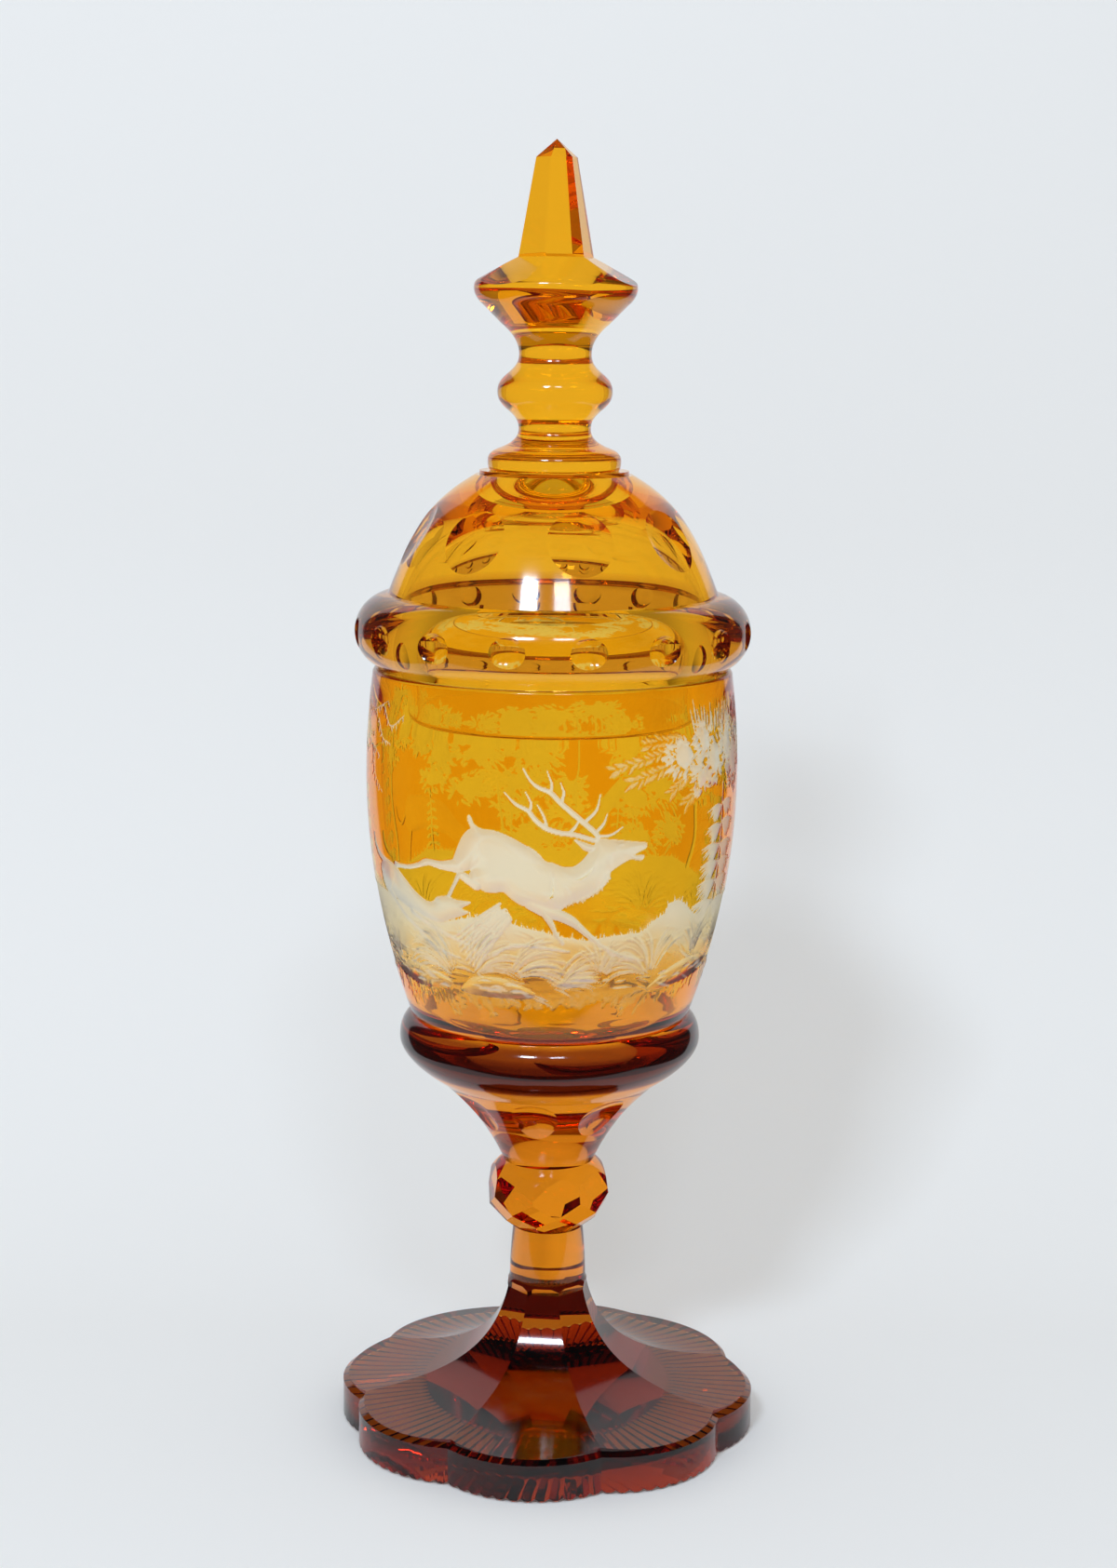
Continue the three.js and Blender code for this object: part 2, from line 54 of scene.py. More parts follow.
KNOP_BASE = level("stem_knop", 0)
CALYX_BASE = level("calyx", 0)
COLLAR_BASE = level("collar_ring", 0)
BOWL_BASE = level("collar_ring", 1)
RIM = level("bowl", 1)
FLANGE_END = level("cover_dome", 0)
MERESE_BASE = level("cover_dome", 1)
FINIAL_KNOP_BASE = level("finial_knop", 0)
DISC_BASE = level("finial_disc", 0)
SPIRE_BASE = level("finial_spire", 0)
TIP = level("finial_spire", 1)

# Camera, as the photograph was taken
CAMERA_PLACE = (2.1, -798.1, 347.3)
CAMERA_PITCH = 0.1773
CAMERA_ROLL = 0.0091
FOCAL_PIXELS = 2850.7
FRAME_HEIGHT_PIXELS = 1685
SENSOR = 36.0

# Foot
LOBES = 8
LOBE_TURN = -6.4
FOOT_RADIUS = 65.0
NOTCH_RADIUS = 60.5
FOOT_WALL = 11.7
FOOT_BEVEL_WIDTH = 1.8
FOOT_BEVEL_RISE = 1.3
FOOT_CHAMFER = 0.6
PANEL_SPRING = 44.2
PANEL_ARCH = 2.1
PANEL_STEM_DEPTH = 11.85
PANEL_FOOT_SWEEP = 32.0
PANEL_STEM_SWEEP = 22.0
PANEL_FOOT_LIFT = 0.1
PANEL_STEM_LEAN = 0.22
PANEL_STEPS = 60
NECK_RADIUS = 10.9
NECK_SHOULDER = 12.1
NECK_INSIDE_KNOP = 12
GROOVES = 96
GROOVE_START = 35.5
GROOVE_SLOPE = 0.62
GROOVE_RUN_IN = 3
GROOVE_STRAIGHT = 40
GROOVE_OVERCUT = 1.05
GROOVE_GAP = 0.02

# Knop, calyx and collar
KNOP_RADIUS = 19.6
KNOP_CREST = 12.3
KNOP_SHOULDER = 14.2
KNOP_FOOT_ROUND = 3.0
KNOP_TOP_ROUND = 4.0
KNOP_FLATS = 8
KNOP_TURN = 8.6
KNOP_WHEEL = 60.0
# Each row of flats: its height, its depth from the axis, its tilt, and its turn in flats
KNOP_ROWS = ((13.8, 17.6, 8, 0.0), (7.2, 17.1, -27, 0.5), (2.8, 13.4, -50, 0.0))
CALYX_TOP_RADIUS = 34.8
CALYX_WAIST = (20.7, 15.0)
CALYX_CUTS = 8
CALYX_CUT_TURN = -9.0
CALYX_CUT_HEIGHT = 19.5
CALYX_CUT_RADIUS = 7.4
CALYX_CUT_BALL = 20.0
COLLAR_RADIUS = 46.4
COLLAR_CREST = 12.8
COLLAR_SWELL = 7.4
COLLAR_TUCK = 2.2

# Bowl
BOWL_BASE_RADIUS = 42.7
BOWL_RADIUS = 56.5
BOWL_WIDEST = 74.6
BOWL_RIM_RADIUS = 54.3
BOWL_WALL = 5.0
BOWL_RIM_WALL = 3.7
BOWL_RIM_TAPER = 16.0
BOWL_RIM_ROUND = 0.9
BOWL_FLOOR_DROP = 1.4
BOWL_FLOOR_RADIUS = 31.0
BOWL_CORNER = 10.0

# Cover
SEAT_WIDTH = 8.4
SEAT_CLEARANCE = 0.3
FLANGE_RADIUS = 44.5
FLANGE_WALL = 3.5
FLANGE_ROUND = 0.8
BEAD_RADIUS = 59.8
BEAD_ROUND = 11.3
BEAD_SINK = 0.2
BEAD_UNDERCUT = 24
BORE_RISE = 2.0
BEAD_CUTS = 16
BEAD_CUT_TURN = 10.1
BEAD_CUT_RADIUS = 5.7
BEAD_CUT_BALL = 8.0
DOME_FOOT_RADIUS = 49.8
DOME_TOP_RADIUS = 23.6
DOME_WALL = 4.6
DOME_FOOT_LEAN = 6.4
DOME_FOOT_RISE = 16
DOME_SHOULDER_WIDTH = 15.8
DOME_SHOULDER_DROP = 9
DOME_INSIDE_DROP = 3
DOME_CROWN_WALL = 1.1
DOME_CUTS = 8
DOME_CUT_TURN = 11.0
DOME_CUT_HEIGHT = 18.6
DOME_CUT_RADIUS = 9.9
DOME_CUT_BALL = 60.0
STEP_RADIUS = 22.4
STEP_HEIGHT = 1.2

# Finial
MERESE_RADIUS = 20.0
MERESE_CREST = 3.0
MERESE_SHOULDER = 3.6
MERESE_SHOULDER_WIDTH = 3.4
MERESE_ROUND = 2.4
MERESE_SLOPE = 5.6
FINIAL_NECK = 10.8
FINIAL_KNOP_RADIUS = 17.2
DISC_RADIUS = 24.3
DISC_CREST = 19.3
DISC_TOP_RADIUS = 12.0
DISC_CONE_FOOT = 8.8
DISC_CONE_STEP = 5.2
DISC_CONE_EASE = 4.6
DISC_ROUND = (2.8, 5)
DISC_EASE = (2.6, 1.6)
DISC_SHOULDER = 2.5
DISC_FLAT_DEPTH = 0.5
DISC_WHEEL = 50
SPIRE_SIDES = 6
SPIRE_TURN = 15.0
SPIRE_FOOT = 11.5
SPIRE_TIP_RADIUS = 6.3
SPIRE_POINT = 5.3

# Fineness of the meshes
AROUND = 256
CURVE = 24
EDGE_STEPS = 8
LOBE_STEPS = 40
BALL_SEGMENTS = 96
WIDE_BALL_SEGMENTS = 384
GROOVE_SEGMENTS = 8
GROOVE_RUN_IN_STEPS = 7
GROOVE_STEPS = 12
FLARE_STEPS = 40
BEAD_STEPS = 72
DOME_STEPS = 60
BOWL_INSIDE_ROWS = 90
PLAIN_ROWS = 6
ENGRAVED_FROM = 3.0
ENGRAVED_ROWS = 292
ENGRAVED_FINENESS = 4
# How far above and below a height its outline's lean is taken
LEAN_REACH = 0.2
# Pieces that are joined reach this far into each other
OVERLAP = 3.0


# Curves and turned solids
def bezier(*handles, steps=CURVE):
    """Points of a Bezier curve of any degree through its first and last handle."""
    handles = np.array(handles, float)
    degree = len(handles) - 1
    t = np.linspace(0, 1, steps + 1)[:, None]
    return sum(math.comb(degree, i) * (1 - t) ** (degree - i) * t ** i * handle
               for i, handle in enumerate(handles))


def ogee(start, end):
    """An S-curve that leaves one radius and reaches the next upright."""
    middle = (start[1] + end[1]) / 2
    return bezier(start, (start[0], middle), (end[0], middle), end)


def arc(centre, radius, start, end, steps=CURVE):
    angles = np.radians(np.linspace(start, end, steps + 1))
    return np.array(centre) + radius * np.column_stack([np.cos(angles), np.sin(angles)])


def line(start, end, spacing=2.0):
    """Points along a straight stretch, so that no face is long and thin."""
    start, end = np.array(start, float), np.array(end, float)
    steps = max(1, round(np.linalg.norm(end - start) / spacing))
    return start + (end - start) * np.linspace(0, 1, steps + 1)[:, None]


def outline(*stretches):
    path = np.vstack([np.atleast_2d(np.array(s, float)) for s in stretches])
    apart = np.ones(len(path), bool)
    apart[1:] = np.linalg.norm(np.diff(path, axis=0), axis=1) > 0.01
    return path[apart]


def on_outline(path, height):
    """Radius of a rising outline at a height, and how far its outside leans up, in degrees."""
    heights = (height, height - LEAN_REACH, height + LEAN_REACH)
    radius, below, above = np.interp(heights, path[:, 1], path[:, 0])
    return radius, math.degrees(math.atan2(below - above, 2 * LEAN_REACH))


def turned(path, segments=AROUND):
    """Vertices and faces of the closed solid that an outline makes about the axis. segments may be
    one number, or one for each point of the outline, where each is a multiple of its coarser
    neighbour."""
    path = np.asarray(path, float)
    counts = np.broadcast_to(segments, len(path)).copy()
    counts[path[:, 0] < 1e-6] = 1
    first = np.concatenate([[0], np.cumsum(counts)])
    rings = []
    for (radius, height), count in zip(path, counts):
        angles = np.arange(count) * 2 * math.pi / count
        rings.append(around_point(radius, angles, height))
    faces = []
    closed = counts[0] > 1
    for i in range(len(path) if closed else len(path) - 1):
        j = (i + 1) % len(path)
        steps = max(min(counts[i], counts[j]), 1)
        if steps == 1:
            steps = max(counts[i], counts[j])
        k = np.arange(steps)[:, None]
        low, high = counts[i] // steps, counts[j] // steps
        lower = first[i] + ((k * low + np.arange(low + 1)) % counts[i] if low else 0 * k)
        upper = first[j] + ((k * high + np.arange(high + 1)[::-1]) % counts[j] if high else 0 * k)
        faces += np.hstack([lower, upper]).tolist()
    return np.vstack(rings), faces


def around_point(radius, angles, height):
    """Places on a circle about the axis, at angles from -Y towards +X."""
    return np.column_stack([radius * np.sin(angles), -radius * np.cos(angles),
                            np.broadcast_to(height, len(angles))])


# Solids as Blender objects, joined and cut. Each cut's faces have a part number of their own, so
# that its edge is kept crisp.
scratch = bpy.data.collections.new("scratch")
bpy.context.scene.collection.children.link(scratch)
parts = itertools.count(1)


def solid(name, verts, faces, part=0):
    mesh = bpy.data.meshes.new(name)
    mesh.from_pydata((np.array([tuple(v) for v in verts]) * MILLIMETRE).tolist(), [], faces)
    numbers = np.array(np.broadcast_to(part, len(faces)), np.int32)
    mesh.attributes.new("part", "INT", "FACE").data.foreach_set("value", numbers)
    obj = bpy.data.objects.new(name, mesh)
    scratch.objects.link(obj)
    return obj


def combine(base, others, operation):
    """Cuts others from base, joins them to it or keeps what they share, and uses them up."""
    operands = bpy.data.collections.new("operands")
    bpy.context.scene.collection.children.link(operands)
    steps = [[other] for other in others] if operation == "INTERSECT" else [others]
    for group in steps:
        for other in group:
            scratch.objects.unlink(other)
            operands.objects.link(other)
        modifier = base.modifiers.new("combine", "BOOLEAN")
        modifier.operation = operation
        modifier.solver = "MANIFOLD"
        modifier.operand_type = "COLLECTION"
        modifier.collection = operands
        evaluated = base.evaluated_get(bpy.context.evaluated_depsgraph_get())
        mesh = bpy.data.meshes.new_from_object(evaluated)
        base.modifiers.clear()
        base.data = mesh
        for other in group:
            bpy.data.objects.remove(other)
    bpy.data.collections.remove(operands)
    return base


def outward(azimuth, tilt=0.0):
    """The direction away from the axis at an azimuth, tilted up from level."""
    turn, rise = math.radians(azimuth), math.radians(tilt)
    run = math.cos(rise)
    return Vector((math.sin(turn) * run, -math.cos(turn) * run, math.sin(rise)))


def flat_cut(azimuth, tilt, depth, height, size):
    """The glass that a flat wheel takes off beyond a plane at a depth from the axis."""
    direction = outward(azimuth, tilt)
    across = outward(azimuth + 90)
    up = direction.cross(across)
    start = outward(azimuth) * depth + Vector((0, 0, height))
    corners = [start + direction * out + across * (a * size / 2) + up * (b * size / 2)
               for out in (0, size) for a, b in ((-1, -1), (1, -1), (1, 1), (-1, 1))]
    faces = [(0, 1, 2, 3), (7, 6, 5, 4), (1, 0, 4, 5), (2, 1, 5, 6), (3, 2, 6, 7), (0, 3, 7, 4)]
    if (corners[1] - corners[0]).cross(corners[3] - corners[0]).dot(direction) > 0:
        faces = [face[::-1] for face in faces]
    return solid("flat_cut", corners, faces, next(parts))


def ball_cut(azimuth, tilt, radius, height, ball, bite, segments=BALL_SEGMENTS):
    """The hollow that a round wheel leaves where it bites along a direction."""
    direction = outward(azimuth, tilt)
    centre = outward(azimuth) * radius + Vector((0, 0, height)) + direction * (ball - bite)
    path = outline([(0, -ball)], arc((0, 0), ball, -90, 90, segments // 2)[1:-1], [(0, ball)])
    verts, faces = turned(path, segments)
    turn = Vector((0, 0, 1)).rotation_difference(direction)
    return solid("ball_cut", [centre + turn @ Vector(v) for v in verts], faces, next(parts))


def around_axis(count, turn):
    return [turn + 360 / count * i for i in range(count)]


# Goblet
def lobed(inset):
    """The foot's outline at one inset: arcs through the notches and the lobes' crowns."""
    half = math.pi / LOBES
    crown, notch = FOOT_RADIUS - inset, NOTCH_RADIUS - inset
    centre = (crown ** 2 - notch ** 2) / (2 * (crown - notch * math.cos(half)))
    radius = crown - centre
    reach = math.atan2(notch * math.sin(half), notch * math.cos(half) - centre)
    points = []
    for lobe in range(LOBES):
        middle = math.radians(LOBE_TURN) + lobe * 2 * half - math.pi / 2
        for step in range(LOBE_STEPS):
            angle = middle + reach * (2 * step / LOBE_STEPS - 1)
            points.append((centre * math.cos(middle) + radius * math.cos(angle),
                           centre * math.sin(middle) + radius * math.sin(angle)))
    return points


def stacked(name, layers):
    """A block between stacked outlines that have the same number of points."""
    count = len(layers[0][0])
    verts = [(x, y, height) for points, height in layers for x, y in points]
    faces = [tuple(range(count))[::-1]]
    for low in range(0, count * (len(layers) - 1), count):
        for i in range(count):
            n = (i + 1) % count
            faces.append((low + i, low + n, low + count + n, low + count + i))
    faces.append(tuple(range(count * (len(layers) - 1), count * len(layers))))
    return solid(name, verts, faces, next(parts))


def panel_side(azimuth, top):
    """One hollowed panel, as everything that it leaves on its side of the foot."""
    span = 3 * FOOT_RADIUS
    edge = (FOOT_RADIUS - FOOT_BEVEL_WIDTH, FOOT_WALL + FOOT_BEVEL_RISE)
    slope = bezier(edge, (edge[0] - PANEL_FOOT_SWEEP, edge[1] + PANEL_FOOT_LIFT * PANEL_FOOT_SWEEP),
                   (PANEL_STEM_DEPTH + PANEL_STEM_LEAN * PANEL_STEM_SWEEP,
                    PANEL_SPRING - PANEL_STEM_SWEEP),
                   (PANEL_STEM_DEPTH, PANEL_SPRING), steps=PANEL_STEPS)
    profile = outline([(-span, -1), (span, -1), (span, edge[1])], slope,
                      [(NECK_SHOULDER, PANEL_SPRING + PANEL_ARCH),
                       (span, PANEL_SPRING + 2 * PANEL_ARCH), (span, top), (-span, top)])
    along, across = outward(azimuth), outward(azimuth + 90)
    count = len(profile)
    verts = [along * distance + across * (side * span / 2) + Vector((0, 0, height))
             for side in (-1, 1) for distance, height in profile]
    faces = [tuple(range(count)), tuple(range(count, 2 * count))[::-1]]
    for i in range(count):
        n = (i + 1) % count
        faces.append((n, i, count + i, count + n))
    return solid("panel", verts, faces, next(parts))


def groove_tool():
    """What the mitre wheel takes from the underside: one upright wedge ring of radial grooves."""
    count = GROOVES * GROOVE_SEGMENTS
    azimuths = np.arange(count) * 2 * math.pi / count + math.radians(LOBE_TURN)
    radii = np.concatenate([
        np.linspace(GROOVE_START, GROOVE_START + GROOVE_RUN_IN, GROOVE_RUN_IN_STEPS),
        np.linspace(GROOVE_STRAIGHT, FOOT_RADIUS + 1, GROOVE_STEPS)])
    aside = np.arange(count) / GROOVE_SEGMENTS + 0.5
    aside = np.abs(aside % 1 - 0.5) * 2 * math.pi / GROOVES
    rings = []
    for radius in radii:
        share = np.clip((radius - GROOVE_START) / GROOVE_RUN_IN, 0, 1) ** 0.5
        depth = share * math.pi * radius / GROOVES * GROOVE_SLOPE * GROOVE_OVERCUT
        height = np.maximum(depth - aside * radius * GROOVE_SLOPE, -GROOVE_GAP)
        rings.append(around_point(radius, azimuths, height))
    rings += [around_point(radius, azimuths, -OVERLAP) for radius in (radii[-1], radii[0])]
    faces = []
    for ring in range(len(rings)):
        low, high = ring * count, (ring + 1) % len(rings) * count
        for k in range(count):
            n = (k + 1) % count
            faces.append((low + k, high + k, high + n, low + n))
    return solid("grooves", np.vstack(rings), faces, next(parts))


def make_foot(top):
    edge_top = FOOT_WALL + FOOT_BEVEL_RISE
    arch = PANEL_SPRING + PANEL_ARCH
    neck_foot = (NECK_SHOULDER - 0.2, arch + 1.5)
    blank = outline(
        [(0, 0)], line((1, 0), (FOOT_RADIUS + 6, 0), 3), [(FOOT_RADIUS + 6, edge_top + 4)],
        line((FOOT_RADIUS, edge_top + 6), (FOOT_RADIUS / 2, (edge_top + arch) / 2), 4),
        bezier((NECK_SHOULDER + 6, arch - 5), (NECK_SHOULDER + 1.2, arch - 2.5),
               (NECK_SHOULDER, arch), neck_foot),
        bezier(neck_foot, (NECK_SHOULDER - 0.3, (arch + KNOP_BASE) / 2), (NECK_RADIUS, KNOP_BASE)),
        [(NECK_RADIUS - 0.8, KNOP_BASE + 1), (NECK_RADIUS - 1, top - 2), (0, top - 2)])
    foot = solid("foot_glass", *turned(blank))
    bevel = lobed(FOOT_BEVEL_WIDTH)
    slab = stacked("slab", [(lobed(FOOT_CHAMFER), 0), (lobed(0), FOOT_CHAMFER),
                            (lobed(0), FOOT_WALL), (bevel, edge_top), (bevel, top)])
    panels = [panel_side(azimuth, top) for azimuth in around_axis(LOBES, LOBE_TURN)]
    combine(foot, [slab] + panels, "INTERSECT")
    return combine(foot, [groove_tool()], "DIFFERENCE")


def make_knop():
    middle = KNOP_BASE + KNOP_CREST
    blank = outline(
        [(0, KNOP_BASE - 0.6), (NECK_RADIUS - 0.6, KNOP_BASE - 0.6)],
        bezier((NECK_RADIUS, KNOP_BASE), (KNOP_RADIUS, KNOP_BASE + KNOP_FOOT_ROUND),
               (KNOP_RADIUS, middle)),
        bezier((KNOP_RADIUS, middle), (KNOP_RADIUS, CALYX_BASE - KNOP_TOP_ROUND),
               (KNOP_SHOULDER, CALYX_BASE)),
        [(KNOP_SHOULDER - 0.8, CALYX_BASE + 0.8), (0, CALYX_BASE + 0.8)])
    knop = solid("knop_glass", *turned(blank))
    cuts = [flat_cut(azimuth, tilt, depth, KNOP_BASE + height, KNOP_WHEEL)
            for height, depth, tilt, stagger in KNOP_ROWS
            for azimuth in around_axis(KNOP_FLATS, KNOP_TURN + stagger * 360 / KNOP_FLATS)]
    return combine(knop, cuts, "DIFFERENCE")


def bowl_outside(height):
    """The barrel's outside: one parabola below its widest height and one above."""
    widest = BOWL_BASE + BOWL_WIDEST
    end = np.where(height < widest, BOWL_BASE, RIM)
    end_radius = np.where(height < widest, BOWL_BASE_RADIUS, BOWL_RIM_RADIUS)
    return BOWL_RADIUS - (BOWL_RADIUS - end_radius) * ((height - widest) / (end - widest)) ** 2


def bowl_inside(height):
    share = np.clip((height - RIM + BOWL_RIM_TAPER) / BOWL_RIM_TAPER, 0, 1)
    taper = share * share * (3 - 2 * share)
    return bowl_outside(height) - BOWL_WALL + (BOWL_WALL - BOWL_RIM_WALL) * taper


# Engraving. Places are millimetres round the bowl from its front, and above the bowl's base.
# A cut is its width or widths, its depth and, unless it is wholly matt, how matt it is.
PLATE_COLUMNS = 2048
PLATE_TOP = 104.0
GRAIN = 2 * math.pi * BOWL_RADIUS / PLATE_COLUMNS
PLATE_ROWS = round(PLATE_TOP / GRAIN)
HALF_WAY = math.pi * BOWL_RADIUS
dice = np.random.default_rng(8)

STAG = (
    (-22.6, 68.3), (-20.5, 67.2), (-16.7, 66.9), (-12.7, 65.7), (-9, 63.9), (-5.5, 61.8),
    (-1.5, 58.5), (0.9, 57.9), (3.4, 56.9), (6.5, 56.8), (9, 58.4), (10.9, 60.6), (12.5, 62),
    (13, 63.9), (14.6, 64.9), (16.9, 64.6), (20.2, 64.2), (23.7, 63.6), (27.2, 63.1), (29.3, 62.6),
    (29, 61.1), (26.6, 60.1), (25.6, 59.4), (28.4, 59.1), (28, 57.7), (26.2, 57.7), (24.3, 58.2),
    (21.4, 57), (18.9, 55.5), (17.7, 54.4), (16.7, 52.4), (14.9, 50.1), (11.7, 47.9), (9.3, 46.7),
    (6.8, 46.1), (4.4, 44.5), (1.5, 43), (-1.9, 43.4), (-5.7, 44.3), (-8.8, 44.9), (-11.7, 46.7),
    (-14.1, 48.6), (-16.7, 48.2), (-19.3, 48.2), (-22.3, 49.4), (-25, 50.4), (-25.9, 51.6),
    (-23.3, 55.3), (-25.4, 54.1), (-30.3, 53.7), (-30.2, 56.5), (-28.5, 60.6), (-26.6, 64.3),
    (-24.8, 66.3), (-23.9, 67.1), (-24.6, 68.8), (-24.9, 70.3), (-24.1, 70.8), (-23.3, 69.7))
STAG_EAR = (
    (12.5, 61), (10, 61.4), (8.4, 62.9), (6.6, 64.9), (8.8, 64.3), (11.2, 63.4), (13.4, 62.5))
STAG_LEGS = (
    ((-28.5, 55.3), (-34.2, 54.8), (-38.3, 55.1), (-40.5, 54.9), (-43.7, 53.6), (-48.1, 52.4),
     (-52.5, 52), (-55.2, 51.9)),
    ((-22.5, 50.1), (-26.6, 52.3), (-28, 52.7), (-30.1, 49.4), (-32.3, 45.8)),
    ((-5.8, 45.6), (-0.9, 43.1), (3, 42), (6.6, 40.2), (8.9, 38.4), (12.7, 35.2), (16.1, 32.5),
     (18.8, 30.8), (20.8, 29.2)), ((-1.9, 43), (0.6, 39), (1.9, 36.1), (4.1, 33.3)))
STAG_LEG_WIDTHS = (
    (4.2, 2.6, 2.0, 2.0, 1.5, 1.3, 1.3, 1.8), (3.2, 2.6, 1.8, 1.1, 1.3),
    (4.0, 3.8, 3.4, 2.9, 2.2, 1.7, 1.3, 1.3, 2.0), (2.4, 1.7, 1.2, 1.1))
ANTLERS = (
    ((13.6, 64.3), (13.3, 66.2), (9, 70.1), (6.2, 72.5), (3, 75.3), (-0.2, 78.5), (-3.5, 79.9),
     (-5.8, 81.6), (-8.1, 85.2)),
    ((12.7, 64.4), (7.2, 66.1), (3.1, 66.7), (-1.1, 68), (-4.3, 70.4), (-6.6, 73.1), (-10.3, 75),
     (-13.4, 78.1)))
TINES = (
    ((-0.2, 78.8), (0.2, 80.8), (-1.2, 84.7)), ((3, 75.3), (3.6, 78.5), (2.7, 81.3)),
    ((10.1, 70.1), (13.2, 73.3), (14.3, 77.9)), ((13.6, 67.2), (15.4, 69.3), (16.4, 72)),
    ((13.8, 65.6), (17.6, 65.8), (21.3, 68)), ((-6.2, 72.8), (-5.7, 75.2), (-7.3, 78.5)),
    ((-1.1, 68), (-2, 71.5), (-4, 75)), ((5.1, 66.4), (7.2, 68.7), (8.3, 71.1)))
# Swells on the stag's body: hollowed a little deeper and, as a painted highlight, cut more matt
STAG_LIT_SWELLS = (
    ((-27.6, 56), (-25.4, 60), (-22.5, 64), (-17.5, 65)), ((-14, 63), (-7, 60.4), (0, 56.4)),
    ((3.5, 55), (8, 53), (12.4, 55.6), (14.6, 60)), ((-3, 48.5), (3, 46.6), (8, 49)),
    ((-21, 51.4), (-16.4, 51), (-11.4, 49.6)))
STAG_FOLDS = (
    ((-23.5, 63.8), (-22, 60.2), (-23.4, 56.2), (-23, 52.5), (-20, 49.6)),
    ((-13.4, 50.2), (-9.5, 47.6), (-4.4, 46.2)), ((3.7, 51.7), (5.7, 47.8), (4.4, 45.4)),
    ((-0.1, 56.5), (0.8, 51.8), (0.4, 47.6), (-1.6, 45)), ((19.1, 60.2), (18, 57.8), (18.3, 55.4)),
    ((25.2, 59.3), (22.6, 59.8)), ((19.2, 63.5), (20.4, 62), (21.3, 61)))
HOUND = (
    (-66.8, 48.6), (-63.6, 52.1), (-61, 52.6), (-55.7, 51.5), (-50.9, 48.6), (-47.3, 45.9),
    (-44.3, 44.2), (-41, 42.9), (-38.6, 43.4), (-37.2, 44.7), (-35.1, 45.4), (-32.5, 45.7),
    (-30.1, 45), (-24.9, 44.9), (-25.4, 43.9), (-27.9, 42.4), (-25.6, 41.6), (-27.5, 40.4),
    (-32.9, 38.4), (-37.4, 36.9), (-44.5, 37.8), (-53.9, 40.2), (-60.2, 42.3), (-63.6, 44.3))
HOUND_HAUNCH = (
    (-66.1, 48.8), (-62.3, 51.9), (-58.2, 50.3), (-57.1, 46.5), (-61.9, 42.1), (-65.6, 44.4))
HOUND_LINES = (
    ((-62.6, 51.8), (-67.2, 53.5), (-69.7, 56), (-70.3, 58.6)),
    ((-49.1, 38.6), (-40.7, 35.5), (-34.4, 33.4), (-27.4, 31.3)),
    ((-61, 42.5), (-54, 37), (-47, 33), (-42, 29)))
FAR_HOUND = (
    (-119.3, 62), (-114.5, 62), (-112, 57), (-112.8, 52), (-117, 50.2), (-122.5, 50.5),
    (-129, 49.6), (-136, 47), (-141, 43.5), (-145.5, 42.5), (-150, 44.6), (-146.5, 47.4),
    (-142, 50.4), (-138, 55), (-133, 58.8), (-126, 61))
FAR_HOUND_LINES = (
    ((-113.5, 58), (-109, 54.4), (-105, 56.6), (-103.6, 60.5)),
    ((-116, 51.5), (-113, 44), (-110.5, 38)), ((-141.5, 45.5), (-147, 40), (-150, 38.5)))
STAG_EYE = (((20.6, 62.4), (21.4, 62.9), (22.3, 62.5)),)
STAG_MANE = ((17.6, 53.6), (14.6, 50.2), (10.6, 47.6), (6, 46.2), (1.6, 44))
STAG_HAIRS = 260
HAIR_CUT = ((0.15, 0.45, 0.1), -0.08)
STAG_HAIR_BOX = ((-24, 45), (16, 66))
HAIR_LEAN = (-24, 14)
HAIR_LENGTH = (1.2, 3)
MANE_LEAN = (-76, -52)
MANE_LENGTH = (0.7, 1.5)
MANE_ROOT = 2.4
MANE_CUT = ((0.3, 0.6, 0.15), 0.4)
# Each hollowed shape: its outline, its depth, how far in it is reached, and how matt it is
ANIMAL_SHAPES = ((HOUND, 1.2, 3.4, 0.9), (HOUND_HAUNCH, 1.5, 3.4, 0.95),
                 (FAR_HOUND, 0.6, 3.0, 0.10), (STAG, 1.9, 5.0, 0.90), (STAG_EAR, 1.0, 1.4, 1.0))
# Each group of lines: its curves, their widths along them, depth, how matt, and whether on top
ANIMAL_LINES = ((HOUND_LINES, (2.2, 1.6, 1.0), 0.6, 1.0, False),
                (FAR_HOUND_LINES, (1.5, 1.1, 0.7), 0.35, 0.12, False),
                (ANTLERS, (1.5, 1.5, 1.3, 0.45), 0.6, 1.0, False),
                (TINES, (0.95, 0.75, 0.3), 0.45, 1.0, False),
                (STAG_FOLDS, (0.3, 1.9, 0.3), 0.18, 1.0, True),
                # the swells' higher matt is a painted highlight
                (STAG_LIT_SWELLS, (0.4, 4.6, 0.4), 0.2, 0.98, True),
                (STAG_EYE, (0.5, 0.9, 0.5), 0.35, 1.0, True))
STAG_LEG_DEPTH = 1.0

# The woodland floor
GROUND_TONE = ((14, 0.24), (22, 0.34), (30, 0.58), (42, 0.92))
GROUND_DAPPLE = 0.06
GROUND_DEPTH = 0.3
GROUND_RISE = 2.5
GROUND_STROKES = 520
GROUND_LEAN = (-12, 10)
GROUND_WAVE = 14
GROUND_LENGTH = (3, 9)
GROUND_BEND = (-0.6, 0.6)
GROUND_WIDTHS = (0.2, 0.85, 0.2)
GROUND_DEPTHS = (0.08, 0.24)
GROUND_MATTS = (0.3, 0.8)
FRINGE_SPACING = 0.75
FRINGE_LEAN = (100, 24)
FRINGE_LENGTH = (0.9, 2.6)
FRINGE_SINK = 0.7
FRINGE_CUT = ((0.6, 0.15), 0.2, 0.9)
